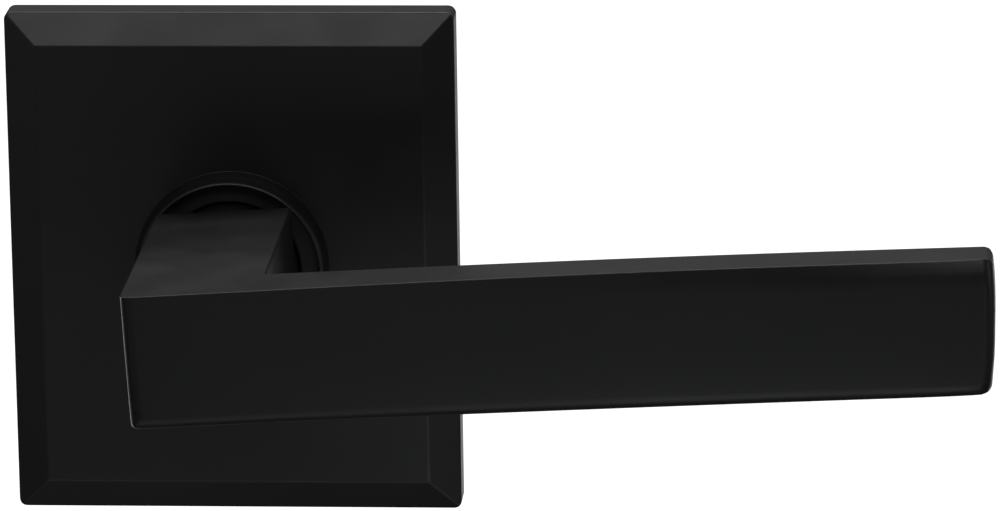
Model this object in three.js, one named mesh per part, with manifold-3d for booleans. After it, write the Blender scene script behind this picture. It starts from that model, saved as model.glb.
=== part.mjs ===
// Door lever handle on a bevelled rectangular rose, one side of the door.
// Millimetres. The origin is where the spindle's axis meets the door's face: +X runs along the
// lever, +Y goes into the door, +Z is up. The room is on the -Y side.
import * as THREE from "three";
import { mergeVertices } from "three/addons/utils/BufferGeometryUtils.js";
import Module from "manifold-3d";

const wasm = await Module();
wasm.setup();

// ---- Driving dimensions ----

// Clearances: between fixed neighbours, and around what turns.
const SEAT_GAP = 0.1;
const TURN_GAP = 0.3;

// Rose cover: a shallow casting, 2 5/8 by 3 inches, with a mitred bevel on four sides.
const ROSE_WIDTH = 66.7;
const ROSE_HEIGHT = 76.2;
const ROSE_SIDE_DEPTH = 4.9;
const ROSE_DEPTH = 7.2;
const ROSE_BEVEL = 4.7;
const ROSE_CORNER = 1.2;
const ROSE_WALL = 1.8;
const ROSE_FACE_WALL = 1.6;

// Round collar on the rose's face.
const COLLAR_BASE_RADIUS = 14.45;
const COLLAR_LIP_RADIUS = 13.85;
const COLLAR_BORE_RADIUS = 13.2;
const COLLAR_LIP_DEPTH = 11.25;
const COLLAR_LIP_ROUND = 0.2;

// Lever: an L-shaped bar, its neck along Y and its grip along X, both as tall as each other.
const LEVER_TILT = THREE.MathUtils.degToRad(3.1);
const LEVER_HALF_HEIGHT = 9.95;
const NECK_HALF_WIDTH = 10;
const NECK_REAR_DEPTH = 12.8;
const GRIP_END_X = 113;
const GRIP_FRONT = { start: 59.6, middle: 59.6, end: 62.8 };
const GRIP_BACK = { start: 50.1, middle: 51.7, end: 54.1 };
const LEVER_EDGE = 0.4;
const SHANK_RADIUS = 10;
const SHANK_REAR_DEPTH = 0.7;
const LEVER_TRAVEL = THREE.MathUtils.degToRad(45);

// Bush in the collar, and the stack that keeps the lever in the rose.
const BUSH_FACE_DEPTH = 9.5;
const BUSH_FLANGE_RADIUS = 14.8;
const BUSH_FLANGE_THICKNESS = 1.2;
const THRUST_WASHER = { radius: 13.2, front: 3.8, rear: 3.2 };
const CIRCLIP = { outer: 12, front: 2.9, rear: 1.9, opening: THREE.MathUtils.degToRad(36) };
const CIRCLIP_GROOVE_RADIUS = 9.4;

// Spindle, its hub and the neck's set screw.
const SPINDLE_WIDTH = 8;
const SPINDLE_CHAMFER = 0.6;
const SPINDLE_FRONT_DEPTH = 25;
const SPINDLE_REAR = 42;
const HUB_TANG_WIDTH = 11;
const HUB_TANG_DEPTH = 4.2;
const HUB_FRONT = 0.6;
const HUB_FLANGE = { radius: 14.2, rear: 2.6 };
const HUB_BARREL = { radius: 10.3, rear: 7.9 };
const HUB_JOURNAL = { radius: 6.6, rear: 10.6 };
const NECK_SCREW = { radius: 2.5, depth: 19, hexRadius: 1.45, hexDepth: 2.2 };

// Plate against the door, with two folded tabs that hold the cover.
const PLATE_THICKNESS = 1.6;
const PLATE_EDGE_GAP = 0.6;
const PLATE_CORNER = 2;
const PLATE_BORE_RADIUS = 10.5;
const TAB = { width: 14, depth: 4.6 };
const HOOK = { width: 10, front: 4.2, rear: 2.4, height: 1.1 };
const ROSE_SCREW = { radius: 1.5, depth: 2.8, hexRadius: 0.9, hexDepth: 1.4 };

// Spring case behind the plate, in the door's bore.
const CASE_RADIUS = 16;
const CASE_WALL = 1.2;
const CASE_REAR = 10;
const CASE_BUSH_RADIUS = 8.2;
const CASE_BUSH_FLANGE_RADIUS = 9.6;
const CASE_EAR_RADIUS = 3.6;
const CASE_SCREW = { radius: 1.25, head: 2.6, headHeight: 1.6, circle: 19.4, count: 3 };

// Stops: pins in the plate that stand in notches of the hub's flange.
const STOP_PIN = { radius: 1.5, circle: 12.7, rear: 2.4, count: 2 };
const STOP_ANGLE = THREE.MathUtils.degToRad(60);

// Return spring, a torsion coil round the hub's barrel.
const SPRING_WIRE_RADIUS = 0.65;
const SPRING_RADIUS = 12;
const SPRING_TURNS = 3;
const SPRING_PITCH = 1.4;
const SPRING_FRONT = 3.7;
const SPRING_HUB_ANGLE = THREE.MathUtils.degToRad(153);
const SPRING_CASE_ANGLE = THREE.MathUtils.degToRad(195);
const SPRING_HOLE_RADIUS = 1;

// Bolts that clamp the set through the door.
const BOLT = { radius: 2, x: 19, rear: 40, head: 3.5, headHeight: 2.2, hexRadius: 1.45 };
const BOLT_SLOT_TRAVEL = 1.5;
const BOLT_WASHER = { radius: 3.9, thickness: 0.8, opening: THREE.MathUtils.degToRad(16) };

const ROUND_SEGMENTS = 48;
const SMALL_SEGMENTS = 20;
const WIRE_SIDES = 7;
const STEPS_PER_TURN = 22;
const WELD = 1e-4;
const OVERCUT = 1;

// ---- Materials ----

const blackCoat = () =>
  new THREE.MeshStandardMaterial({ color: 0x1b1c1e, roughness: 0.42, metalness: 0.5 });
const zincSteel = () =>
  new THREE.MeshStandardMaterial({ color: 0xb4b8bb, roughness: 0.38, metalness: 1 });
const plainSteel = () =>
  new THREE.MeshStandardMaterial({ color: 0x8b8d90, roughness: 0.45, metalness: 1 });
const springSteel = () =>
  new THREE.MeshStandardMaterial({ color: 0x55575b, roughness: 0.35, metalness: 1 });
const blackAcetal = () =>
  new THREE.MeshStandardMaterial({ color: 0x17181a, roughness: 0.5, metalness: 0 });

// ---- Shapes ----

// A closed solid that can be joined and cut, from a closed geometry.
function toSolid(geometry) {
  const bare = geometry.clone();
  bare.deleteAttribute("normal");
  bare.deleteAttribute("uv");
  const merged = mergeVertices(bare, WELD);
  return new wasm.Manifold(
    new wasm.Mesh({
      numProp: 3,
      vertProperties: merged.attributes.position.array,
      triVerts: new Uint32Array(merged.index.array),
    }),
  );
}

function toGeometry(solid) {
  const { vertProperties, triVerts } = solid.getMesh();
  const geometry = new THREE.BufferGeometry();
  geometry.setAttribute("position", new THREE.BufferAttribute(vertProperties, 3));
  geometry.setIndex(new THREE.BufferAttribute(triVerts, 1));
  geometry.computeVertexNormals();
  return geometry;
}

// A cylinder along Y.
function rod(radius, fromY, toY, segments = SMALL_SEGMENTS) {
  const length = Math.abs(toY - fromY);
  const geometry = new THREE.CylinderGeometry(radius, radius, length, segments);
  return toSolid(geometry.translate(0, (fromY + toY) / 2, 0));
}

// A cylinder along Z, at a place on the Y axis.
function uprightRod(radius, y, fromZ, toZ, segments = SMALL_SEGMENTS) {
  const geometry = new THREE.CylinderGeometry(radius, radius, Math.abs(toZ - fromZ), segments);
  return toSolid(geometry.rotateX(Math.PI / 2).translate(0, y, (fromZ + toZ) / 2));
}

// A box from its lowest corner to its highest.
function block(low, high) {
  const size = high.map((value, axis) => value - low[axis]);
  const geometry = new THREE.BoxGeometry(...size);
  const centre = high.map((value, axis) => (value + low[axis]) / 2);
  return toSolid(geometry.translate(...centre));
}

// A square bar along Y.
const squareBar = (width, fromY, toY) =>
  block([-width / 2, Math.min(fromY, toY), -width / 2], [width / 2, Math.max(fromY, toY), width / 2]);

// A body turned about Y, from a profile of [radius, y] corners that closes on itself. The faces
// point out where the profile runs anticlockwise.
function turned(profile, segments = ROUND_SEGMENTS) {
  const corners = profile.map(([radius, y]) => new THREE.Vector2(radius, y));
  if (THREE.ShapeUtils.area(corners) < 0) corners.reverse();
  return toSolid(new THREE.LatheGeometry([...corners, corners[0]], segments));
}

// A plain ring about Y.
const ring = (inner, outer, front, rear, segments) =>
  turned([[inner, front], [outer, front], [outer, rear], [inner, rear]], segments);

// An outline in X and Z, made solid along Y.
function slab(shape, fromY, toY) {
  const depth = Math.abs(toY - fromY);
  const geometry = new THREE.ExtrudeGeometry(shape, { depth, bevelEnabled: false, curveSegments: 8 });
  return toSolid(geometry.rotateX(Math.PI / 2).translate(0, Math.max(fromY, toY), 0));
}

function roundedRectangle(width, height, corner) {
  const shape = new THREE.Shape();
  const x = width / 2 - corner;
  const z = height / 2 - corner;
  shape.absarc(x, z, corner, 0, Math.PI / 2);
  shape.absarc(-x, z, corner, Math.PI / 2, Math.PI);
  shape.absarc(-x, -z, corner, Math.PI, Math.PI * 1.5);
  shape.absarc(x, -z, corner, Math.PI * 1.5, Math.PI * 2);
  return shape;
}

function rectangle(width, height) {
  const shape = new THREE.Shape();
  shape.moveTo(-width / 2, -height / 2);
  shape.lineTo(width / 2, -height / 2);
  shape.lineTo(width / 2, height / 2);
  shape.lineTo(-width / 2, height / 2);
  return shape;
}

// An open ring, such as a circlip, with its opening at the bottom.
function openRing(inner, outer, opening) {
  const from = -Math.PI / 2 + opening / 2;
  const to = Math.PI * 1.5 - opening / 2;
  const shape = new THREE.Shape();
  shape.absarc(0, 0, outer, from, to, false);
  shape.absarc(0, 0, inner, to, from, true);
  return shape;
}

// A block with straight sides and a mitred bevel round its front face.
function bevelledBlock(width, height, sideDepth, depth, corner, rearY) {
  const bevelDepth = depth - sideDepth;
  const face = rectangle(width - 2 * ROSE_BEVEL, height - 2 * ROSE_BEVEL);
  const geometry = new THREE.ExtrudeGeometry(face, {
    depth,
    bevelThickness: bevelDepth,
    bevelSize: ROSE_BEVEL,
    bevelSegments: 1,
  });
  const bevelled = toSolid(geometry.rotateX(Math.PI / 2).translate(0, bevelDepth, 0));
  const prism = slab(roundedRectangle(width, height, corner), rearY, -depth - OVERCUT);
  return bevelled.intersect(prism);
}

// Moves a solid round the Y axis, from +X towards +Z.
const swung = (solid, angle) => solid.rotate([0, -THREE.MathUtils.radToDeg(angle), 0]);

// A solid moved out along X and then swung to an angle.
const placedAt = (solid, radius, angle) => swung(solid.translate([radius, 0, 0]), angle);

const joined = (solids) => solids.reduce((all, next) => all.add(next));

// A hexagon socket along Y, cut from a screw's end face.
const hexSocket = (radius, fromY, toY) => rod(radius, fromY, toY, 6);

function part(name, solid, material) {
  const mesh = new THREE.Mesh(toGeometry(solid), material);
  mesh.name = name;
  return mesh;
}

// ---- Rose ----

// The cover: a hollow casting with its collar, a notch for the plate's hook and a screw hole.
function roseCover() {
  const outside = bevelledBlock(
    ROSE_WIDTH, ROSE_HEIGHT, ROSE_SIDE_DEPTH, ROSE_DEPTH, ROSE_CORNER, 0);
  const hollow = bevelledBlock(
    ROSE_WIDTH - 2 * ROSE_WALL, ROSE_HEIGHT - 2 * ROSE_WALL,
    ROSE_SIDE_DEPTH - ROSE_FACE_WALL, ROSE_DEPTH - ROSE_FACE_WALL, ROSE_CORNER, OVERCUT);
  const collar = turned([
    [COLLAR_BORE_RADIUS - OVERCUT, -ROSE_DEPTH + OVERCUT],
    [COLLAR_BASE_RADIUS, -ROSE_DEPTH + OVERCUT],
    [COLLAR_BASE_RADIUS, -ROSE_DEPTH],
    [COLLAR_LIP_RADIUS, -COLLAR_LIP_DEPTH + COLLAR_LIP_ROUND],
    [COLLAR_LIP_RADIUS - COLLAR_LIP_ROUND, -COLLAR_LIP_DEPTH],
    [COLLAR_BORE_RADIUS - OVERCUT, -COLLAR_LIP_DEPTH],
  ], ROUND_SEGMENTS * 2);
  const bore = rod(COLLAR_BORE_RADIUS, OVERCUT, -COLLAR_LIP_DEPTH - OVERCUT, ROUND_SEGMENTS * 2);
  const insideTop = ROSE_HEIGHT / 2 - ROSE_WALL;
  const tabPocket = block(
    [-TAB.width / 2 - TURN_GAP, -TAB.depth - TURN_GAP, -insideTop],
    [TAB.width / 2 + TURN_GAP, OVERCUT, insideTop]);
  const notch = block(
    [-HOOK.width / 2 - TURN_GAP, -HOOK.front - TURN_GAP, insideTop - OVERCUT],
    [HOOK.width / 2 + TURN_GAP, -HOOK.rear + TURN_GAP,
      insideTop - PLATE_EDGE_GAP + HOOK.height + TURN_GAP]);
  const screwHole = uprightRod(
    ROSE_SCREW.radius + TURN_GAP, -ROSE_SCREW.depth, -insideTop + OVERCUT, -insideTop - 2 * ROSE_WALL);
  const cuts = joined([hollow, bore, tabPocket, notch, screwHole]);
  return part("rose_cover", outside.add(collar).subtract(cuts), blackCoat());
}

// The flanged bush whose ring face lies inside the collar's lip.
function collarBush() {
  const flangeFront = -(ROSE_DEPTH - ROSE_FACE_WALL - TURN_GAP);
  const flangeRear = flangeFront + BUSH_FLANGE_THICKNESS;
  const bore = SHANK_RADIUS + TURN_GAP;
  const barrel = COLLAR_BORE_RADIUS - TURN_GAP;
  const bush = turned([
    [bore, -BUSH_FACE_DEPTH],
    [barrel, -BUSH_FACE_DEPTH],
    [barrel, flangeFront],
    [BUSH_FLANGE_RADIUS, flangeFront],
    [BUSH_FLANGE_RADIUS, flangeRear],
    [bore, flangeRear],
  ], ROUND_SEGMENTS * 2);
  return part("collar_bush", bush, blackAcetal());
}

const thrustWasher = () =>
  part(
    "thrust_washer",
    ring(SHANK_RADIUS + TURN_GAP, THRUST_WASHER.radius, -THRUST_WASHER.front, -THRUST_WASHER.rear),
    plainSteel(),
  );

// ---- Plate, spring case and fixings ----

// One folded tab on the plate's upper edge; the lower one is its mirror image.
function plateTab(edgeZ) {
  const inner = edgeZ - Math.sign(edgeZ) * PLATE_THICKNESS;
  return block(
    [-TAB.width / 2, -TAB.depth, Math.min(edgeZ, inner)],
    [TAB.width / 2, 0, Math.max(edgeZ, inner)]);
}

// A slot for a through bolt, long in X so that the set can be squared up on the door.
function boltSlot(x) {
  const radius = BOLT.radius + TURN_GAP;
  const width = 2 * (radius + BOLT_SLOT_TRAVEL);
  const outline = roundedRectangle(width, 2 * radius, radius - WELD);
  return slab(outline, OVERCUT, -PLATE_THICKNESS - OVERCUT).translate([x, 0, 0]);
}

// Angles of the case's ears and screws: one at the top, the others spaced evenly.
const caseScrewAngle = (index) => Math.PI / 2 + (index * 2 * Math.PI) / CASE_SCREW.count;

const stopPinAngle = (index) => STOP_ANGLE + (index * 2 * Math.PI) / STOP_PIN.count;

function mountingPlate() {
  const width = ROSE_WIDTH - 2 * (ROSE_WALL + PLATE_EDGE_GAP);
  const height = ROSE_HEIGHT - 2 * (ROSE_WALL + PLATE_EDGE_GAP);
  const through = [OVERCUT, -PLATE_THICKNESS - OVERCUT];
  const hook = block(
    [-HOOK.width / 2, -HOOK.front, height / 2 - PLATE_THICKNESS],
    [HOOK.width / 2, -HOOK.rear, height / 2 + HOOK.height]);
  const sheet = slab(roundedRectangle(width, height, PLATE_CORNER), 0, -PLATE_THICKNESS);
  const blank = joined([sheet, plateTab(height / 2), plateTab(-height / 2), hook]);
  const holes = [
    rod(PLATE_BORE_RADIUS, ...through, ROUND_SEGMENTS),
    boltSlot(BOLT.x),
    boltSlot(-BOLT.x),
    uprightRod(
      ROSE_SCREW.radius + SEAT_GAP, -ROSE_SCREW.depth, -height / 2 - OVERCUT, -height / 2 + 2 * OVERCUT),
  ];
  for (let index = 0; index < CASE_SCREW.count; index += 1) {
    const hole = rod(CASE_SCREW.radius + SEAT_GAP, ...through);
    holes.push(placedAt(hole, CASE_SCREW.circle, caseScrewAngle(index)));
  }
  for (let index = 0; index < STOP_PIN.count; index += 1) {
    const hole = rod(STOP_PIN.radius + SEAT_GAP, ...through);
    holes.push(placedAt(hole, STOP_PIN.circle, stopPinAngle(index) + LEVER_TILT));
  }
  return part("mounting_plate", blank.subtract(joined(holes)), zincSteel());
}

// The grub screw in the rose's lower edge, its point in the plate's lower tab.
function roseSetScrew() {
  const head = -(ROSE_HEIGHT / 2) + SEAT_GAP;
  const point = -(ROSE_HEIGHT / 2 - ROSE_WALL - PLATE_EDGE_GAP - PLATE_THICKNESS);
  const screw = uprightRod(ROSE_SCREW.radius, -ROSE_SCREW.depth, head, point);
  const socket = uprightRod(
    ROSE_SCREW.hexRadius, -ROSE_SCREW.depth, head - OVERCUT, head + ROSE_SCREW.hexDepth, 6);
  return part("rose_set_screw", screw.subtract(socket), plainSteel());
}

// The cup behind the plate, with three screw ears and a hole for the spring's fixed leg.
function springCase() {
  const inner = CASE_RADIUS - CASE_WALL;
  const floor = CASE_REAR - CASE_WALL;
  const floorHole = CASE_BUSH_RADIUS + SEAT_GAP;
  const cup = turned([
    [inner, SEAT_GAP],
    [inner, floor],
    [floorHole, floor],
    [floorHole, CASE_REAR],
    [CASE_RADIUS, CASE_REAR],
    [CASE_RADIUS, SEAT_GAP],
  ]);
  const ears = [];
  const cuts = [];
  for (let index = 0; index < CASE_SCREW.count; index += 1) {
    const angle = caseScrewAngle(index);
    const lobe = rod(CASE_EAR_RADIUS, SEAT_GAP, CASE_WALL);
    const web = block(
      [-(CASE_SCREW.circle - CASE_RADIUS) - CASE_WALL / 2, SEAT_GAP, -CASE_EAR_RADIUS],
      [0, CASE_WALL, CASE_EAR_RADIUS]);
    ears.push(placedAt(lobe.add(web), CASE_SCREW.circle, angle));
    const hole = rod(CASE_SCREW.radius + SEAT_GAP, -OVERCUT, CASE_WALL + OVERCUT);
    cuts.push(placedAt(hole, CASE_SCREW.circle, angle));
  }
  const legHole = uprightRod(SPRING_HOLE_RADIUS, 0, -CASE_WALL * 2, CASE_WALL * 2).rotate([0, 90, 0]);
  cuts.push(placedAt(legHole.translate([0, springRear(), 0]), CASE_RADIUS, SPRING_CASE_ANGLE));
  return part("spring_case", joined([cup, ...ears]).subtract(joined(cuts)), zincSteel());
}

// One of the screws that hold the case to the plate, driven from the rear.
function caseScrew(index) {
  const seat = CASE_WALL + SEAT_GAP;
  const screw = rod(CASE_SCREW.radius, -PLATE_THICKNESS, seat + SEAT_GAP)
    .add(rod(CASE_SCREW.head, seat, seat + CASE_SCREW.headHeight))
    .subtract(hexSocket(CASE_SCREW.radius, seat + CASE_SCREW.headHeight / 2, CASE_REAR));
  const placed = placedAt(screw, CASE_SCREW.circle, caseScrewAngle(index));
  return part(`case_screw_${index + 1}`, placed, plainSteel());
}

function stopPin(index) {
  const pin = rod(STOP_PIN.radius, -PLATE_THICKNESS, STOP_PIN.rear);
  const placed = placedAt(pin, STOP_PIN.circle, stopPinAngle(index) + LEVER_TILT);
  return part(`stop_pin_${index + 1}`, placed, plainSteel());
}

// The flanged bush in the case's floor that carries the hub's journal.
function caseBush() {
  const bore = HUB_JOURNAL.radius + TURN_GAP;
  const flangeFront = HUB_BARREL.rear + TURN_GAP;
  const flangeRear = CASE_REAR - CASE_WALL - SEAT_GAP;
  const bush = turned([
    [bore, flangeFront],
    [CASE_BUSH_FLANGE_RADIUS, flangeFront],
    [CASE_BUSH_FLANGE_RADIUS, flangeRear],
    [CASE_BUSH_RADIUS, flangeRear],
    [CASE_BUSH_RADIUS, CASE_REAR],
    [bore, CASE_REAR],
  ]);
  return part("case_bush", bush, blackAcetal());
}

// A bolt with its head on the plate, under the rose, and its shank through the door.
function throughBolt(name, x) {
  const seat = -PLATE_THICKNESS - BOLT_WASHER.thickness - 2 * SEAT_GAP;
  const top = seat - BOLT.headHeight;
  const bolt = rod(BOLT.radius, seat - SEAT_GAP, BOLT.rear)
    .add(rod(BOLT.head, top, seat, ROUND_SEGMENTS / 2))
    .subtract(hexSocket(BOLT.hexRadius, top - OVERCUT, top + BOLT.headHeight * 0.7));
  return part(name, bolt.translate([x, 0, 0]), plainSteel());
}

function boltWasher(name, x) {
  const outline = openRing(BOLT.radius + SEAT_GAP, BOLT_WASHER.radius, BOLT_WASHER.opening);
  const rear = -PLATE_THICKNESS - SEAT_GAP;
  const washer = slab(outline, rear, rear - BOLT_WASHER.thickness);
  return part(name, washer.translate([x, 0, 0]), springSteel());
}

// ---- Return spring ----

const springRear = () => SPRING_FRONT + SPRING_PITCH * (SPRING_TURNS + springPartTurn());

// The part of a turn that brings the coil from the hub's hole to the case's hole.
const springPartTurn = () => (SPRING_CASE_ANGLE - SPRING_HUB_ANGLE - LEVER_TILT) / (2 * Math.PI);

// The wire's centre line: a leg forward into the hub's flange, the coil, a leg out to the case.
function springPath() {
  const turns = SPRING_TURNS + springPartTurn();
  const steps = Math.round(turns * STEPS_PER_TURN);
  const startAngle = SPRING_HUB_ANGLE + LEVER_TILT;
  const at = (radius, angle, y) =>
    new THREE.Vector3(radius * Math.cos(angle), y, radius * Math.sin(angle));
  const bend = 2 * SPRING_WIRE_RADIUS / SPRING_RADIUS;
  const points = [
    at(SPRING_RADIUS, startAngle - bend, HUB_FRONT + TURN_GAP),
    at(SPRING_RADIUS, startAngle - bend, HUB_FLANGE.rear),
    at(SPRING_RADIUS, startAngle - bend / 2, SPRING_FRONT - SPRING_WIRE_RADIUS / 2),
  ];
  for (let step = 1; step < steps; step += 1) {
    const share = step / steps;
    const angle = startAngle + share * turns * 2 * Math.PI;
    points.push(at(SPRING_RADIUS, angle, SPRING_FRONT + share * turns * SPRING_PITCH));
  }
  points.push(at((SPRING_RADIUS + CASE_RADIUS) / 2, SPRING_CASE_ANGLE, springRear()));
  points.push(at(CASE_RADIUS, SPRING_CASE_ANGLE, springRear()));
  return new THREE.CatmullRomCurve3(points);
}

function returnSpring() {
  const wire = new THREE.Shape();
  for (let side = 0; side < WIRE_SIDES; side += 1) {
    const angle = (side / WIRE_SIDES) * 2 * Math.PI;
    const move = side === 0 ? "moveTo" : "lineTo";
    wire[move](SPRING_WIRE_RADIUS * Math.cos(angle), SPRING_WIRE_RADIUS * Math.sin(angle));
  }
  const path = springPath();
  const steps = path.points.length * 2;
  const geometry = new THREE.ExtrudeGeometry(wire, { extrudePath: path, steps });
  return part("return_spring", toSolid(geometry), springSteel());
}

// ---- What turns with the lever ----

// The L in plan: neck and grip in one outline, with the grip's faces gently curved.
function leverOutline() {
  const left = -NECK_HALF_WIDTH;
  const right = NECK_HALF_WIDTH;
  const middleX = (left + GRIP_END_X) / 2;
  // A quadratic curve passes its middle point when its control lies this far past it.
  const control = ({ start, middle, end }) => 2 * middle - (start + end) / 2;
  const outline = new THREE.Shape();
  outline.moveTo(left, -NECK_REAR_DEPTH);
  outline.lineTo(left, -GRIP_FRONT.start);
  outline.quadraticCurveTo(middleX, -control(GRIP_FRONT), GRIP_END_X, -GRIP_FRONT.end);
  outline.lineTo(GRIP_END_X, -GRIP_BACK.end);
  outline.quadraticCurveTo((right + GRIP_END_X) / 2, -control(GRIP_BACK), right, -GRIP_BACK.start);
  outline.lineTo(right, -NECK_REAR_DEPTH);
  return outline;
}

function leverHandle() {
  const geometry = new THREE.ExtrudeGeometry(leverOutline(), {
    depth: 2 * (LEVER_HALF_HEIGHT - LEVER_EDGE),
    bevelThickness: LEVER_EDGE,
    bevelSize: LEVER_EDGE,
    bevelOffset: -LEVER_EDGE,
    bevelSegments: 2,
    curveSegments: 14,
  });
  const bar = toSolid(geometry.translate(0, 0, LEVER_EDGE - LEVER_HALF_HEIGHT));
  const shank = rod(SHANK_RADIUS, -NECK_REAR_DEPTH - OVERCUT, -SHANK_REAR_DEPTH, ROUND_SEGMENTS);
  const spindleSocket = squareBar(SPINDLE_WIDTH + 2 * TURN_GAP, -SPINDLE_FRONT_DEPTH - TURN_GAP, 0);
  const tangSocket = squareBar(HUB_TANG_WIDTH + 2 * TURN_GAP, -HUB_TANG_DEPTH - TURN_GAP, 0);
  const groove = ring(
    CIRCLIP_GROOVE_RADIUS, SHANK_RADIUS + OVERCUT,
    -CIRCLIP.front - SEAT_GAP, -CIRCLIP.rear + SEAT_GAP);
  const screwHole = uprightRod(
    NECK_SCREW.radius + SEAT_GAP, -NECK_SCREW.depth, -LEVER_HALF_HEIGHT - OVERCUT, 0);
  const cuts = joined([spindleSocket, tangSocket, groove, screwHole]);
  return part("lever_handle", bar.add(shank).subtract(cuts), blackCoat());
}

function spindleSetScrew() {
  const head = -LEVER_HALF_HEIGHT + LEVER_EDGE;
  const screw = uprightRod(
    NECK_SCREW.radius, -NECK_SCREW.depth, head, -SPINDLE_WIDTH / 2 - TURN_GAP);
  const socket = uprightRod(
    NECK_SCREW.hexRadius, -NECK_SCREW.depth, head - OVERCUT, head + NECK_SCREW.hexDepth, 6);
  return part("spindle_set_screw", screw.subtract(socket), plainSteel());
}

// The open ring in the shank's groove, seated just clear of the groove's floor.
function shankCirclip() {
  const outline = openRing(CIRCLIP_GROOVE_RADIUS + TURN_GAP, CIRCLIP.outer, CIRCLIP.opening);
  return part("shank_circlip", slab(outline, -CIRCLIP.rear, -CIRCLIP.front), springSteel());
}

// Square bar with its two ends chamfered.
function spindle() {
  const geometry = new THREE.ExtrudeGeometry(
    rectangle(SPINDLE_WIDTH - 2 * SPINDLE_CHAMFER, SPINDLE_WIDTH - 2 * SPINDLE_CHAMFER),
    {
      depth: SPINDLE_REAR + SPINDLE_FRONT_DEPTH - 2 * SPINDLE_CHAMFER,
      bevelThickness: SPINDLE_CHAMFER,
      bevelSize: SPINDLE_CHAMFER,
      bevelSegments: 1,
    },
  );
  geometry.rotateX(Math.PI / 2).translate(0, SPINDLE_REAR - SPINDLE_CHAMFER, 0);
  return part("spindle", toSolid(geometry), zincSteel());
}

// A notch in the hub's flange, wide enough for a pin and the lever's travel.
function stopNotch(index) {
  const pinAngle = Math.asin((STOP_PIN.radius + TURN_GAP) / STOP_PIN.circle);
  const from = stopPinAngle(index) - pinAngle;
  const to = stopPinAngle(index) + LEVER_TRAVEL + pinAngle;
  const inner = STOP_PIN.circle - STOP_PIN.radius - TURN_GAP;
  const outline = new THREE.Shape();
  outline.absarc(0, 0, HUB_FLANGE.radius + OVERCUT, from, to, false);
  outline.absarc(0, 0, inner, to, from, true);
  return slab(outline, HUB_FLANGE.rear + TURN_GAP, HUB_FRONT - TURN_GAP);
}

// Tang in the shank, notched flange, barrel inside the coil and journal in the rear bush.
function driveHub() {
  const body = joined([
    rod(HUB_FLANGE.radius, HUB_FRONT, HUB_FLANGE.rear, ROUND_SEGMENTS),
    rod(HUB_BARREL.radius, HUB_FLANGE.rear - OVERCUT, HUB_BARREL.rear, ROUND_SEGMENTS),
    rod(HUB_JOURNAL.radius, HUB_BARREL.rear - OVERCUT, HUB_JOURNAL.rear, ROUND_SEGMENTS / 2),
    squareBar(HUB_TANG_WIDTH, -HUB_TANG_DEPTH, HUB_FRONT + OVERCUT),
  ]);
  const cuts = [
    squareBar(SPINDLE_WIDTH + 2 * TURN_GAP, -HUB_TANG_DEPTH - OVERCUT, HUB_JOURNAL.rear + OVERCUT),
  ];
  for (let index = 0; index < STOP_PIN.count; index += 1) {
    cuts.push(stopNotch(index));
  }
  const legHole = rod(SPRING_HOLE_RADIUS, HUB_FRONT - OVERCUT, HUB_FLANGE.rear + OVERCUT);
  const bend = 2 * SPRING_WIRE_RADIUS / SPRING_RADIUS;
  cuts.push(placedAt(legHole, SPRING_RADIUS, SPRING_HUB_ANGLE - bend));
  return part("drive_hub", body.subtract(joined(cuts)), plainSteel());
}

// ---- Assembly ----

const handle = new THREE.Group();
handle.add(
  roseCover(),
  collarBush(),
  thrustWasher(),
  mountingPlate(),
  roseSetScrew(),
  springCase(),
  caseBush(),
  returnSpring(),
  throughBolt("through_bolt_left", -BOLT.x),
  throughBolt("through_bolt_right", BOLT.x),
  boltWasher("bolt_washer_left", -BOLT.x),
  boltWasher("bolt_washer_right", BOLT.x),
);
for (let index = 0; index < CASE_SCREW.count; index += 1) {
  handle.add(caseScrew(index));
}
for (let index = 0; index < STOP_PIN.count; index += 1) {
  handle.add(stopPin(index));
}

// The lever rests against its upper stop, a few degrees above level.
const turning = new THREE.Group();
turning.rotation.y = -LEVER_TILT;
turning.add(leverHandle(), spindleSetScrew(), shankCirclip(), spindle(), driveHub());
handle.add(turning);

export default handle;
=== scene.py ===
"""Door lever handle on a bevelled rectangular rose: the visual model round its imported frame."""

from __future__ import annotations

import logging
import math
from collections.abc import Callable
from dataclasses import dataclass, field
from enum import Enum

import bmesh
import bpy
from mathutils import Matrix, Vector


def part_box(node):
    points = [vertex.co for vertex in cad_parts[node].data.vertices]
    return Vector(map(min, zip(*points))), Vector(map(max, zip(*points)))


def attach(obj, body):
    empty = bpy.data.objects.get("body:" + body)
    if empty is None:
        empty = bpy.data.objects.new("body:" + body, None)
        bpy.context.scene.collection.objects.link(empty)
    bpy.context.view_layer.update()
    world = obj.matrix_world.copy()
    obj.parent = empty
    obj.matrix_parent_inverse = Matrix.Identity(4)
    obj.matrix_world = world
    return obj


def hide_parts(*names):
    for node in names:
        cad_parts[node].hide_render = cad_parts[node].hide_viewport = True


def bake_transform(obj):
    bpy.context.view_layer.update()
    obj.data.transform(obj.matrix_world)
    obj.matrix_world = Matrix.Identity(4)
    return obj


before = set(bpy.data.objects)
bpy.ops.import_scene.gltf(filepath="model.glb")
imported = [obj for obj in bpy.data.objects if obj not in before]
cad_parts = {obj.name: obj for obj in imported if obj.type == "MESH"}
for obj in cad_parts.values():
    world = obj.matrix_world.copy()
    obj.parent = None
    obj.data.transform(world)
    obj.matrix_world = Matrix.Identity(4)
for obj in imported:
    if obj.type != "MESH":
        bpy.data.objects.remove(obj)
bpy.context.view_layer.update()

log = logging.getLogger("door_lever")

# The modelling classes work in millimetres and turn them into metres at the bench.
MM = 0.001
# Points closer than this, in metres, are one point.
WELD = 1e-6
# How close, in millimetres, a point must be to a value to count as lying on it.
NEAR = 0.01
# How far a face's normal must point along an axis for the face to look that way.
FACING = 0.9
# How far a cutting tool stands out past what it cuts, in millimetres.
OVERCUT = 1.0
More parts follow.
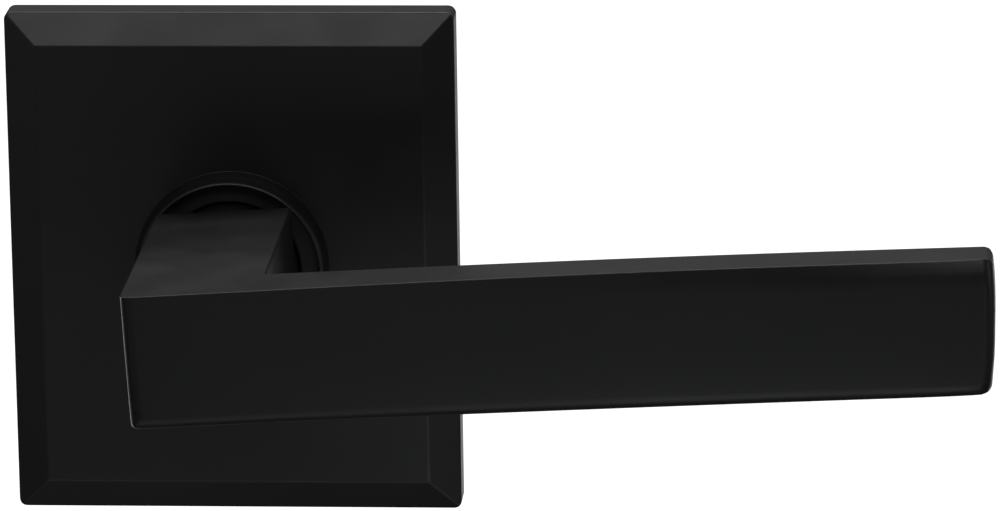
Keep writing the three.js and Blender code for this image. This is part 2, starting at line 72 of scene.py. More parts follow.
# How far one surface stays clear of another that it must not touch, in millimetres.
CLEAR = 0.1
# A thread's tooth and the chamfer at its ends, as shares of its pitch.
THREAD_DEPTH = 0.61
CREST_WIDTH = 0.125
ROOT_WIDTH = 0.2
END_CHAMFER = 0.7
THREAD_STEPS = 20
# How far the lever leans up at rest, in degrees.
REST_TILT = 3.1
# Where the case's screws and the stop pins stand: distances from the axis, and angles.
CASE_SCREW_CIRCLE = 19.4
CASE_SCREW_ANGLES = (90.0, 210.0, 330.0)
STOP_PIN_CIRCLE = 12.7
STOP_PIN_ANGLES = (63.1, 243.1)

Point = tuple[float, float, float]
Profile = list[tuple[float, float]]


class Body(Enum):
    """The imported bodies."""

    ROSE = "rose"
    LEVER = "lever"


class Slot(Enum):
    """The record's material slots."""

    BLACK_COAT = "black_coat"
    BLACK_ACETAL = "black_acetal"
    WHITE_ACETAL = "white_acetal"
    PLAIN_STEEL = "plain_steel"
    ZINC_STEEL = "zinc_steel"
    BOLT_STEEL = "bolt_steel"
    SCREW_STEEL = "screw_steel"
    SPRING_STEEL = "spring_steel"


class Work(Enum):
    """How one solid works on another."""

    JOIN = "UNION"
    CUT = "DIFFERENCE"
    MEET = "INTERSECT"


def arc(
    centre: tuple[float, float], radius: float, start: float, end: float, steps: int
) -> Profile:
    """Returns points on an arc.

    Args:
        centre: the arc's centre, as distance from the axis and Y.
        radius: the arc's radius.
        start: the first angle in degrees, from outwards towards +Y.
        end: the last angle in degrees.
        steps: how many stretches the arc is divided into.

    Returns:
        The points in order.
    """
    angles = [math.radians(start + (end - start) * i / steps) for i in range(steps + 1)]
    return [(centre[0] + radius * math.cos(a), centre[1] + radius * math.sin(a)) for a in angles]


@dataclass(frozen=True)
class Curve:
    """A gentle curve along X, from its heights at its start, middle and end."""

    start_x: float
    end_x: float
    start: float
    middle: float
    end: float

    def at(self, x: float) -> float:
        """Returns the curve's height at x."""
        share = (x - self.start_x) / (self.end_x - self.start_x)
        control = 2 * self.middle - (self.start + self.end) / 2
        rest = 1 - share
        return rest * rest * self.start + 2 * rest * share * control + share * share * self.end


class Editing:
    """Edit mode on one piece, for the length of a with block."""

    def __init__(self, piece: bpy.types.Object) -> None:
        """Remembers the piece."""
        self.piece = piece

    def __enter__(self) -> None:
        """Selects the piece alone and enters edit mode."""
        clear_bench()
        bpy.context.view_layer.objects.active = self.piece
        self.piece.select_set(True)
        bpy.ops.object.mode_set(mode="EDIT")

    def __exit__(self, *problem: object) -> None:
        """Goes back to object mode."""
        bpy.ops.object.mode_set(mode="OBJECT")


def clear_bench() -> None:
    """Deselects everything."""
    bpy.ops.object.select_all(action="DESELECT")


class Workpiece:
    """One mesh on the bench, shaped with Blender's modelling operators, in millimetres."""

    def __init__(self, name: str) -> None:
        """Takes over the active object and freezes its place into its mesh."""
        self.piece = bpy.context.object
        self.piece.name = name
        self.piece.data.name = name
        self.freeze()

    # -- starting shapes --

    @classmethod
    def block(cls, name: str, low: Point, high: Point) -> Workpiece:
        """Starts from a box between its lowest and highest corners."""
        clear_bench()
        centre = [(a + b) / 2 * MM for a, b in zip(low, high)]
        size = [(b - a) * MM for a, b in zip(low, high)]
        bpy.ops.mesh.primitive_cube_add(size=1, location=centre, scale=size)
        return cls(name)

    @classmethod
    def rod(cls, name: str, radius: float, start: Point, end: Point, sides: int = 48) -> Workpiece:
        """Starts from a cylinder between two points."""
        clear_bench()
        first, last = Vector(start) * MM, Vector(end) * MM
        along = last - first
        bpy.ops.mesh.primitive_cylinder_add(
            vertices=sides,
            radius=radius * MM,
            depth=along.length,
            location=(first + last) / 2,
            rotation=along.to_track_quat("Z", "Y").to_euler(),
        )
        return cls(name)

    @classmethod
    def outline(cls, name: str, profile: Profile, closed: bool) -> Workpiece:
        """Draws a profile as a chain of edges, beginning with one point.

        Args:
            name: the piece's name.
            profile: corners as distance from the axis and Y.
            closed: whether the last corner joins the first.

        Returns:
            The wire outline.
        """
        clear_bench()
        radius, y = profile[0]
        bpy.ops.mesh.primitive_plane_add(size=MM, location=(radius * MM, y * MM, 0))
        work = cls(name)
        corners = [*profile, profile[0]] if closed else profile
        with work.editing():
            bpy.ops.mesh.select_mode(type="VERT")
            bpy.ops.mesh.select_all(action="SELECT")
            bpy.ops.mesh.merge(type="CENTER")
            for (r0, y0), (r1, y1) in zip(corners, corners[1:]):
                step = ((r1 - r0) * MM, (y1 - y0) * MM, 0)
                bpy.ops.mesh.extrude_vertices_move(TRANSFORM_OT_translate={"value": step})
            bpy.ops.mesh.select_all(action="SELECT")
            bpy.ops.mesh.remove_doubles(threshold=WELD)
        return work

    @classmethod
    def turned(cls, name: str, profile: Profile, sides: int = 96) -> Workpiece:
        """Turns a profile all the way about the Y axis.

        Args:
            name: the piece's name.
            profile: corners as distance from the axis and Y; it closes on itself, or starts and
                ends on the axis.
            sides: how many steps go round.

        Returns:
            The turned solid.
        """
        on_axis = profile[0][0] < WELD and profile[-1][0] < WELD
        work = cls.outline(name, profile, closed=not on_axis)
        with work.editing():
            bpy.ops.mesh.select_all(action="SELECT")
            bpy.ops.mesh.spin(steps=sides, angle=2 * math.pi, center=(0, 0, 0), axis=(0, 1, 0))
        return work.heal()

    @classmethod
    def open_ring(cls, name: str, profile: Profile, opening: float, sides: int = 72) -> Workpiece:
        """Turns a closed profile part of the way round, its opening at the bottom.

        Args:
            name: the piece's name.
            profile: corners as distance from the axis and Y.
            opening: the angle left open, in degrees.
            sides: how many steps go round.

        Returns:
            The open ring, with its two ends closed.
        """
        work = cls.outline(name, profile, closed=True)
        with work.editing():
            bpy.ops.mesh.select_all(action="SELECT")
            bpy.ops.mesh.edge_face_add()
            bpy.ops.mesh.spin(
                steps=sides,
                angle=math.radians(360 - opening),
                center=(0, 0, 0),
                axis=(0, -1, 0),
            )
        return work.heal().turn(-90 + opening / 2)

    @classmethod
    def thread(cls, name: str, radius: float, pitch: float, start: float, end: float) -> Workpiece:
        """Winds a screw thread about the Y axis.

        Args:
            name: the piece's name.
            radius: the radius over the crests.
            pitch: the distance between crests.
            start: the Y of the first end.
            end: the Y of the last end.

        Returns:
            The threaded rod, its ends closed.
        """
        depth = THREAD_DEPTH * pitch
        crest, root = CREST_WIDTH * pitch, ROOT_WIDTH * pitch
        tooth = [
            (radius, start - pitch),
            (radius, start - pitch + crest),
            (radius - depth, start - (pitch + root) / 2 + crest / 2),
            (radius - depth, start - (pitch - root) / 2 + crest / 2),
            (radius, start),
        ]
        turns = math.ceil((end - start) / pitch) + 2
        work = cls.outline(name, tooth, closed=False)
        work.apply(
            "SCREW", axis="Y", angle=2 * math.pi, screw_offset=pitch * MM, iterations=turns,
            steps=THREAD_STEPS, render_steps=THREAD_STEPS,
            use_merge_vertices=True, merge_threshold=WELD,
        )
        with work.editing():
            for y, side in ((start, -1), (end, 1)):
                bpy.ops.mesh.select_all(action="SELECT")
                bpy.ops.mesh.bisect(
                    plane_co=(0, y * MM, 0), plane_no=(0, side, 0),
                    use_fill=True, clear_outer=True, threshold=WELD * MM,
                )
        return work.heal()

    # -- shaping in edit mode --

    def editing(self) -> Editing:
        """Returns a with block in edit mode on this piece."""
        return Editing(self.piece)

    def heal(self) -> Workpiece:
        """Merges doubles, drops points in the middle of an edge and turns every face outwards."""
        with self.editing():
            bpy.ops.mesh.select_all(action="SELECT")
            bpy.ops.mesh.remove_doubles(threshold=WELD)
            if self._pick("VERT", lambda v: len(v.link_edges) == 2):
                bpy.ops.mesh.dissolve_verts()
            bpy.ops.mesh.select_all(action="SELECT")
            bpy.ops.mesh.normals_make_consistent(inside=False)
        return self

    def pick_faces(self, test: Callable[[Vector, Vector], bool]) -> int:
        """Selects faces by their centre in millimetres and their normal, in edit mode."""
        return self._pick("FACE", lambda f: test(f.calc_center_median() / MM, f.normal))

    def pick_edges(self, test: Callable[[Vector, Vector], bool]) -> int:
        """Selects edges by the places of their two ends in millimetres, in edit mode."""
        return self._pick("EDGE", lambda e: test(e.verts[0].co / MM, e.verts[1].co / MM))

    def pick_upright_edges(self) -> int:
        """Selects the edges that run along Y, in edit mode."""
        return self.pick_edges(lambda a, b: abs(a.x - b.x) < WELD and abs(a.z - b.z) < WELD)

    def pick_points(self, test: Callable[[Vector], bool]) -> int:
        """Selects vertices by their place in millimetres, in edit mode."""
        return self._pick("VERT", lambda v: test(v.co / MM))

    def _pick(self, mode: str, test: Callable[[object], bool]) -> int:
        """Selects elements of one kind; see the methods above."""
        bpy.ops.mesh.select_all(action="DESELECT")
        bpy.ops.mesh.select_mode(type=mode)
        mesh = bmesh.from_edit_mesh(self.piece.data)
        kinds = {"FACE": mesh.faces, "EDGE": mesh.edges, "VERT": mesh.verts}
        found = [item for item in kinds[mode] if test(item)]
        for item in found:
            item.select_set(True)
        mesh.select_flush_mode()
        bmesh.update_edit_mesh(self.piece.data)
        return len(found)

    @staticmethod
    def extrude(step: Point) -> None:
        """Extrudes the selected faces, in edit mode."""
        value = tuple(v * MM for v in step)
        bpy.ops.mesh.extrude_region_move(TRANSFORM_OT_translate={"value": value})

    @staticmethod
    def move(step: Point) -> None:
        """Moves what is selected, in edit mode."""
        bpy.ops.transform.translate(value=tuple(v * MM for v in step))

    @staticmethod
    def slice_at(place: Point, normal: Point) -> None:
        """Cuts an edge loop where a plane crosses the piece, in edit mode."""
        bpy.ops.mesh.select_all(action="SELECT")
        bpy.ops.mesh.bisect(
            plane_co=tuple(v * MM for v in place), plane_no=normal, threshold=WELD * MM
        )

    @staticmethod
    def weigh(share: float) -> None:
        """Gives the selected edges a bevel weight, in edit mode."""
        bpy.ops.transform.edge_bevelweight(value=-1)
        bpy.ops.transform.edge_bevelweight(value=share)

    # -- finishing in object mode --

    def only(self) -> None:
        """Makes this the only selected piece and the active one."""
        clear_bench()
        bpy.context.view_layer.objects.active = self.piece
        self.piece.select_set(True)

    def freeze(self) -> None:
        """Moves the object's own place, turn and size into its mesh."""
        self.only()
        bpy.ops.object.transform_apply(location=True, rotation=True, scale=True)

    def apply(self, kind: str, **settings: object) -> Workpiece:
        """Adds a modifier with its settings and applies it."""
        self.only()
        modifier = self.piece.modifiers.new(kind.lower(), kind)
        for key, value in settings.items():
            setattr(modifier, key, value)
        bpy.ops.object.modifier_apply(modifier=modifier.name)
        return self

    def combine(self, work: Work, *tools: Workpiece) -> Workpiece:
        """Works on this solid with others, and clears them away."""
        for tool in tools:
            self.apply("BOOLEAN", operation=work.value, object=tool.piece, solver="EXACT")
            bpy.data.objects.remove(tool.piece)
        return self

    def round_edges(self, width: float, segments: int = 3, angle: float = 22) -> Workpiece:
        """Rounds every edge sharper than an angle in degrees."""
        return self.apply(
            "BEVEL",
            width=width * MM,
            segments=segments,
            limit_method="ANGLE",
            angle_limit=math.radians(angle),
        )

    def round_weighed(self, width: float, segments: int = 4) -> Workpiece:
        """Rounds each edge by its bevel weight times a width."""
        return self.apply("BEVEL", width=width * MM, segments=segments, limit_method="WEIGHT")

    def smooth(self, angle: float = 35) -> Workpiece:
        """Shades smooth over shallow edges, with flat faces kept flat."""
        self.heal()
        self.only()
        bpy.ops.object.shade_smooth_by_angle(angle=math.radians(angle))
        return self.apply("WEIGHTED_NORMAL", keep_sharp=True, weight=60)

    def turn(self, angle: float) -> Workpiece:
        """Turns the piece about the Y axis, from +X towards +Z, in degrees."""
        self.piece.rotation_euler = (0, -math.radians(angle), 0)
        self.freeze()
        return self

    def stand_up(self, y: float) -> Workpiece:
        """Turns the piece's Y axis upwards, at a place on the Y axis."""
        self.piece.rotation_euler = (math.pi / 2, 0, 0)
        self.freeze()
        return self.shift((0, y, 0))

    def shift(self, step: Point) -> Workpiece:
        """Moves the piece."""
        self.piece.location = Vector(step) * MM
        self.freeze()
        return self

    def placed(self, radius: float, angle: float) -> Workpiece:
        """Moves the piece out along X and then round the Y axis."""
        return self.shift((radius, 0, 0)).turn(angle)

    def copy(self, name: str) -> Workpiece:
        """Returns a copy with a mesh of its own."""
        self.only()
        twin = self.piece.copy()
        twin.data = self.piece.data.copy()
        bpy.context.scene.collection.objects.link(twin)
        bpy.context.view_layer.objects.active = twin
        return Workpiece(name)

    def fit(self, node: str, body: Body, slot: Slot, finish: bpy.types.Material) -> None:
        """Dresses the piece and puts it in its CAD node's place.

        Args:
            node: the CAD node that it stands for.
            body: the body that it moves with.
            slot: the record's material slot; not used.
            finish: its material.
        """
        self.piece.name = node + "_fine"
        self.piece.data.materials.clear()
        self.piece.data.materials.append(finish)
        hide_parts(node)
        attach(self.piece, body.value)
        log.info("%s: %d faces", self.piece.name, len(self.piece.data.polygons))


# ---- Finishes ----


class ShaderBench:
    """A node tree under construction."""

    def __init__(self, tree: bpy.types.NodeTree) -> None:
        """Takes over a tree."""
        self.tree = tree

    def place(self) -> bpy.types.NodeSocket:
        """Returns the object coordinates."""
        return self.add("TexCoord").outputs["Object"]

    def add(
        self, kind: str, options: dict[str, object] | None = None, **inputs: object
    ) -> bpy.types.Node:
        """Adds a node.

        Args:
            kind: the node's type, without its ShaderNode prefix.
            options: the node's own settings.
            **inputs: for each input, by its name with _ for a space or by i and its number, an
                output to link or a value to set.

        Returns:
            The node.
        """
        node = self.tree.nodes.new("ShaderNode" + kind)
        for key, value in (options or {}).items():
            setattr(node, key, value)
        for key, value in inputs.items():
            index = int(key[1:]) if key[0] == "i" and key[1:].isdigit() else key.replace("_", " ")
            socket = node.inputs[index]
            if isinstance(value, bpy.types.NodeSocket):
                self.tree.links.new(value, socket)
            else:
                socket.default_value = value
        return node

    def reckon(self, kind: str, first: object, second: object) -> bpy.types.NodeSocket:
        """Returns the output of a Math node with two inputs."""
        return self.add("Math", {"operation": kind}, i0=first, i1=second).outputs[0]

    def noise(self, place: object, size: object, detail: float = 2.0) -> bpy.types.NodeSocket:
        """Returns the value of a noise pattern of so many grains a metre."""
        node = self.add("TexNoise", Vector=place, Scale=size, Detail=detail, Roughness=0.55)
        return node.outputs["Fac"]


class GroupBench(ShaderBench):
    """A node group under construction, for an effect that more than one finish uses."""

    def __init__(self, name: str, inputs: dict[str, float]) -> None:
        """Makes the group.

        Args:
            name: the group's name.
            inputs: each number that goes in, with its default.
        """
        super().__init__(bpy.data.node_groups.new(name, "ShaderNodeTree"))
        for socket, default in inputs.items():
            made = self.tree.interface.new_socket(
                socket, in_out="INPUT", socket_type="NodeSocketFloat"
            )
            made.default_value = default
        self.inputs = self.tree.nodes.new("NodeGroupInput").outputs
        self.exit = self.tree.nodes.new("NodeGroupOutput")

    def put_out(self, name: str, value: bpy.types.NodeSocket) -> None:
        """Adds an output and links it."""
        self.tree.interface.new_socket(name, in_out="OUTPUT", socket_type="NodeSocketFloat")
        self.tree.links.new(value, self.exit.inputs[name])


class Effects:
    """The effects that the finishes share, each built once."""

    def __init__(self) -> None:
        """Builds the groups."""
        self.grain = self._grain()
        self.patches = self._patches()
        self.tool_lines = self._tool_lines()

    @staticmethod
    def _grain() -> bpy.types.NodeTree:
        """Returns a fine even relief, as of a baked coat or a moulded face."""
        bench = GroupBench("fine_grain", {"Grains": 2600.0, "Swell": 0.5})
        place = bench.place()
        fine = bench.noise(place, bench.inputs["Grains"], 3.0)
        slow_share = 0.18
        slow = bench.reckon("MULTIPLY", bench.inputs["Grains"], slow_share)
        swell = bench.noise(place, slow, 1.0)
        swell = bench.reckon("MULTIPLY", swell, bench.inputs["Swell"])
        bench.put_out("Height", bench.reckon("ADD", fine, swell))
        return bench.tree

    @staticmethod
    def _patches() -> bpy.types.NodeTree:
        """Returns soft uneven patches between a low and a high value."""
        bench = GroupBench("soft_patches", {"Patches": 60.0, "Low": 0.4, "High": 0.5})
        value = bench.noise(bench.place(), bench.inputs["Patches"], 4.0)
        usual_low, usual_high = 0.32, 0.68
        spread_out = bench.add(
            "MapRange",
            Value=value, From_Min=usual_low, From_Max=usual_high,
            To_Min=bench.inputs["Low"], To_Max=bench.inputs["High"],
        )
        bench.put_out("Value", spread_out.outputs[0])
        return bench.tree

    @staticmethod
    def _tool_lines() -> bpy.types.NodeTree:
        """Returns fine rings round the Y axis, as a lathe tool leaves them."""
        bench = GroupBench("tool_lines", {"Lines": 6000.0})
        parts = bench.add("SeparateXYZ", i0=bench.place()).outputs
        across = bench.reckon("MULTIPLY", parts[0], parts[0])
        upward = bench.reckon("MULTIPLY", parts[2], parts[2])
        radius = bench.reckon("POWER", bench.reckon("ADD", across, upward), 0.5)
        place = bench.add(
            "CombineXYZ",
            i0=bench.reckon("MULTIPLY", radius, bench.inputs["Lines"]),
            i1=bench.reckon("MULTIPLY", parts[1], bench.inputs["Lines"]),
            i2=bench.reckon("ARCTAN2", parts[2], parts[0]),
        )
        bench.put_out("Height", bench.noise(place.outputs[0], 1.0))
        return bench.tree


@dataclass(frozen=True)
class Finish:
    """A surface with slight patches of colour and gloss and a fine relief.

    Its two colours are mixed by soft patches, its roughness varies between two values, and its
    relief comes from grain or tool lines.
    """

    name: str
    dark: Point
    light: Point
    metallic: float = 0.0
    patches: float = 50.0
    rough: tuple[float, float] = (0.36, 0.46)
    smudges: float = 140.0
    grains: float = 2600.0
    swell: float = 0.5
    relief: float = 0.004
    strength: float = 0.5
    tool_lines: float = 0.0

    def material(self, effects: Effects) -> bpy.types.Material:
        """Builds the node material.

        Args:
            effects: the shared shader groups.

        Returns:
            The material.
        """
        made = bpy.data.materials.new(self.name)
        made.use_nodes = True
        bench = ShaderBench(made.node_tree)
        shader = made.node_tree.nodes["Principled BSDF"]
        shader.inputs["Metallic"].default_value = self.metallic
        link = made.node_tree.links.new
        patch = bench.add(
            "Group", {"node_tree": effects.patches}, Patches=self.patches, Low=0.0, High=1.0
        )
        colour = bench.add(
            "Mix", {"data_type": "RGBA"},
            i0=patch.outputs["Value"], i6=(*self.dark, 1.0), i7=(*self.light, 1.0),
        )
        link(colour.outputs[2], shader.inputs["Base Color"])
        gloss = bench.add(
            "Group", {"node_tree": effects.patches},
            Patches=self.smudges, Low=self.rough[0], High=self.rough[1],
        )
        link(gloss.outputs["Value"], shader.inputs["Roughness"])
        if self.tool_lines:
            relief = bench.add("Group", {"node_tree": effects.tool_lines}, Lines=self.tool_lines)
        else:
            relief = bench.add(
                "Group", {"node_tree": effects.grain}, Grains=self.grains, Swell=self.swell
            )
        bump = bench.add(
            "Bump",
            Strength=self.strength, Distance=self.relief * MM, Height=relief.outputs["Height"],
        )
        link(bump.outputs["Normal"], shader.inputs["Normal"])
        return made


BLACK_COAT = Finish(
    "satin_black_coat", (0.0058, 0.006, 0.0062), (0.0078, 0.008, 0.0082),
    patches=38, rough=(0.37, 0.44), smudges=120, grains=2400, swell=0.8, relief=0.005, strength=0.4,
)
BLACK_ACETAL = Finish(
    "black_acetal", (0.004, 0.004, 0.0042), (0.006, 0.006, 0.006),
    rough=(0.5, 0.6), grains=4200, relief=0.003, strength=0.6,
)
WHITE_ACETAL = Finish(
    "natural_acetal", (0.70, 0.69, 0.64), (0.78, 0.77, 0.73),
    rough=(0.4, 0.5), grains=3800, relief=0.003, strength=0.5,
)
TURNED_STEEL = Finish(
    "turned_steel", (0.33, 0.33, 0.34), (0.42, 0.42, 0.43),
    metallic=1.0, rough=(0.26, 0.4), tool_lines=5200, relief=0.004, strength=0.5,
)
ZINC_PLATE = Finish(
    "bright_zinc_plate", (0.56, 0.575, 0.60), (0.61, 0.62, 0.625),
    metallic=1.0, patches=110, rough=(0.32, 0.36), smudges=420, grains=5200, relief=0.002,
)
BOLT_ZINC = Finish(
    "bolt_zinc_plate", (0.50, 0.51, 0.54), (0.62, 0.62, 0.60),
    metallic=1.0, patches=200, rough=(0.26, 0.38), smudges=400, grains=5200, relief=0.003,
)
BLACK_OXIDE = Finish(
    "black_oxide", (0.05, 0.05, 0.055), (0.10, 0.10, 0.10),
    metallic=1.0, patches=300, rough=(0.36, 0.5), smudges=500, grains=5200, relief=0.003,
)
OILED_SPRING_STEEL = Finish(
    "oiled_spring_steel", (0.17, 0.17, 0.19), (0.27, 0.27, 0.29),
    metallic=1.0, patches=220, rough=(0.24, 0.38), smudges=400, grains=4600, relief=0.003,
)


class Finishes:
    """Every finish's material, each built once."""

    def __init__(self) -> None:
        """Builds the shared effects and the materials."""
        effects = Effects()
        self.black_coat = BLACK_COAT.material(effects)
        self.black_acetal = BLACK_ACETAL.material(effects)
        self.white_acetal = WHITE_ACETAL.material(effects)
        self.turned_steel = TURNED_STEEL.material(effects)
        self.zinc_plate = ZINC_PLATE.material(effects)
        self.bolt_zinc = BOLT_ZINC.material(effects)
        self.black_oxide = BLACK_OXIDE.material(effects)
        self.spring_steel = OILED_SPRING_STEEL.material(effects)


# ---- Sub-assemblies ----


@dataclass
class Rose:
    """The cover on the door's face, with its collar, bush and thrust washer, in millimetres."""

    wall: float = 1.8
    face_wall: float = 1.6
    side_depth: float = 4.9
    depth: float = 7.2
    bevel: float = 4.7
    corner: float = 1.2
    edge_round: float = 0.45
    collar_base: float = 14.45
    collar_bore: float = 13.2
    collar_depth: float = 11.25
    lip_round: float = 0.2
    # The collar's outer face: how far it lies inside its base radius, and behind its lip.
    collar_wall: tuple[tuple[float, float], ...] = (
        (0.04, 2.8), (0.12, 2.0), (0.24, 1.35), (0.4, 0.8), (0.58, 0.4), (0.76, 0.14), (0.92, 0.02),
    )
    foot_round: float = 0.08
    bush_face: float = 9.5
    bush_barrel: float = 13.1
    bush_flange: float = 14.8
    bush_flange_front: float = 5.3
    bush_flange_rear: float = 4.1
    shank_hole: float = 10.3
    washer_radius: float = 13.2
    washer_front: float = 3.8
    washer_rear: float = 3.2
    tab_half_width: float = 7.3
    tab_depth: float = 4.9
    hook_half_width: float = 5.3
    hook_front: float = 4.5
    hook_rear: float = 2.1
    hook_reach: float = 0.8
    screw_depth: float = 2.8
    screw_hole: float = 1.8

    def __post_init__(self) -> None:
        """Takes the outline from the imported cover."""
        low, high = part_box("rose_cover")
        self.half_width = (high.x - low.x) / 2 / MM
        self.half_height = (high.z - low.z) / 2 / MM

    def build(self, finishes: Finishes) -> None:
        """Builds the three pieces and dresses them."""
        self.cover().fit("rose_cover", Body.ROSE, Slot.BLACK_COAT, finishes.black_coat)
        self.bush().fit("collar_bush", Body.ROSE, Slot.BLACK_ACETAL, finishes.black_acetal)
        self.washer().fit("thrust_washer", Body.ROSE, Slot.PLAIN_STEEL, finishes.turned_steel)

    def bevelled(
        self, name: str, half_width: float, half_height: float, depths: Point
    ) -> Workpiece:
        """Builds a block with a mitred bevel round its front face.

        Args:
            name: the piece's name.
            half_width: half its width at the bevel's foot.
            half_height: half its height at the bevel's foot.
            depths: the depths of its rear, of the bevel's foot and of its face.

        Returns:
            The block, its sides standing out past the bevel's foot by the overcut.
        """
        rear, foot, face = depths
        slope = (face - foot) / self.bevel
        side = foot - slope * OVERCUT
        wide, tall = half_width + OVERCUT, half_height + OVERCUT
        work = Workpiece.block(name, (-wide, -side, -tall), (wide, -rear, tall))
        shrink = ((half_width - self.bevel) / wide, 1, (half_height - self.bevel) / tall)
        with work.editing():
            work.pick_faces(lambda centre, normal: normal.y < -FACING)
            work.extrude((0, side - face, 0))
            bpy.ops.transform.resize(value=shrink, center_override=(0, 0, 0))
        return work

    def prism(self, half_width: float, half_height: float) -> Workpiece:
        """Builds a rounded upright block to trim a bevelled one."""
        work = Workpiece.block(
            "prism",
            (-half_width, -self.depth - OVERCUT, -half_height),
            (half_width, 2 * OVERCUT, half_height),
        )
        with work.editing():
            work.pick_upright_edges()
            bpy.ops.mesh.bevel(offset=self.corner * MM, segments=8, affect="EDGES")
        return work

    def collar(self) -> Workpiece:
        """Builds the round collar, its outer face curving in to a rounded lip."""
        root = -self.depth + self.face_wall - OVERCUT / 2
        lip = -self.collar_depth
        profile = [
            (self.collar_bore, root),
            (self.collar_base + self.foot_round, root),
            *arc(
                (self.collar_base + self.foot_round, -self.depth - self.foot_round),
                self.foot_round, 92, 180, 6,
            ),
            *((self.collar_base - narrow, lip + rise) for narrow, rise in self.collar_wall),
            *arc(
                (self.collar_bore + self.lip_round, lip + self.lip_round),
                self.lip_round, -90, -180, 5,
            ),
        ]
        return Workpiece.turned("collar", profile, sides=192)

    def cover(self) -> Workpiece:
        """Builds the hollow cover."""
        work = self.bevelled(
            "cover", self.half_width, self.half_height, (0, self.side_depth, self.depth)
        )
        work.combine(Work.MEET, self.prism(self.half_width, self.half_height)).heal()
        work.round_edges(self.edge_round, segments=3)
        inside_width, inside_height = self.half_width - self.wall, self.half_height - self.wall
        hollow = self.bevelled(
            "hollow", inside_width, inside_height,
            (-OVERCUT, self.side_depth - self.face_wall, self.depth - self.face_wall),
        )
        hollow.combine(Work.MEET, self.prism(inside_width, inside_height)).heal()
        bore = Workpiece.rod(
            "bore", (self.collar_bore + self.collar_base) / 2,
            (0, -self.depth - OVERCUT, 0), (0, OVERCUT, 0), sides=96,
        )
        tabs = Workpiece.block(
            "tabs",
            (-self.tab_half_width, -self.tab_depth, -inside_height),
            (self.tab_half_width, OVERCUT, inside_height),
        )
        notch = Workpiece.block(
            "notch",
            (-self.hook_half_width, -self.hook_front, inside_height - OVERCUT),
            (self.hook_half_width, -self.hook_rear, inside_height + self.hook_reach),
        )
        screw_hole = Workpiece.rod(
            "screw_hole", self.screw_hole,
            (0, -self.screw_depth, -self.half_height - OVERCUT),
            (0, -self.screw_depth, -inside_height + OVERCUT), sides=32,
        )
        work.combine(Work.CUT, hollow, bore, tabs, notch, screw_hole)
        work.combine(Work.JOIN, self.collar())
        return work.smooth()

    def bush(self) -> Workpiece:
        """Builds the flanged bush with a lead-in round its bore."""
        lead, soft = 0.35, 0.15
        face, barrel = -self.bush_face, self.bush_barrel
        profile = [
            (self.shank_hole, face + lead),
            *arc((self.shank_hole + lead, face + lead), lead, 180, 270, 4),
            *arc((barrel - soft, face + soft), soft, -90, 0, 3),
            (barrel, -self.bush_flange_front),
            *arc((self.bush_flange - soft, -self.bush_flange_front + soft), soft, -90, 0, 3),
            *arc((self.bush_flange - soft, -self.bush_flange_rear - soft), soft, 0, 90, 3),
            (self.shank_hole + soft, -self.bush_flange_rear),
            (self.shank_hole, -self.bush_flange_rear - soft),
        ]
        return Workpiece.turned("bush", profile[1:], sides=144).smooth()

    def washer(self) -> Workpiece:
        """Builds the flat washer, its edges eased."""
        ease = 0.12
        profile = [
            (self.shank_hole + ease, -self.washer_front),
            *arc((self.washer_radius - ease, -self.washer_front + ease), ease, -90, 0, 2),
            *arc((self.washer_radius - ease, -self.washer_rear - ease), ease, 0, 90, 2),
            (self.shank_hole + ease, -self.washer_rear),
            (self.shank_hole, -self.washer_rear - ease),
            (self.shank_hole, -self.washer_front + ease),
        ]
        return Workpiece.turned("washer", profile).smooth()


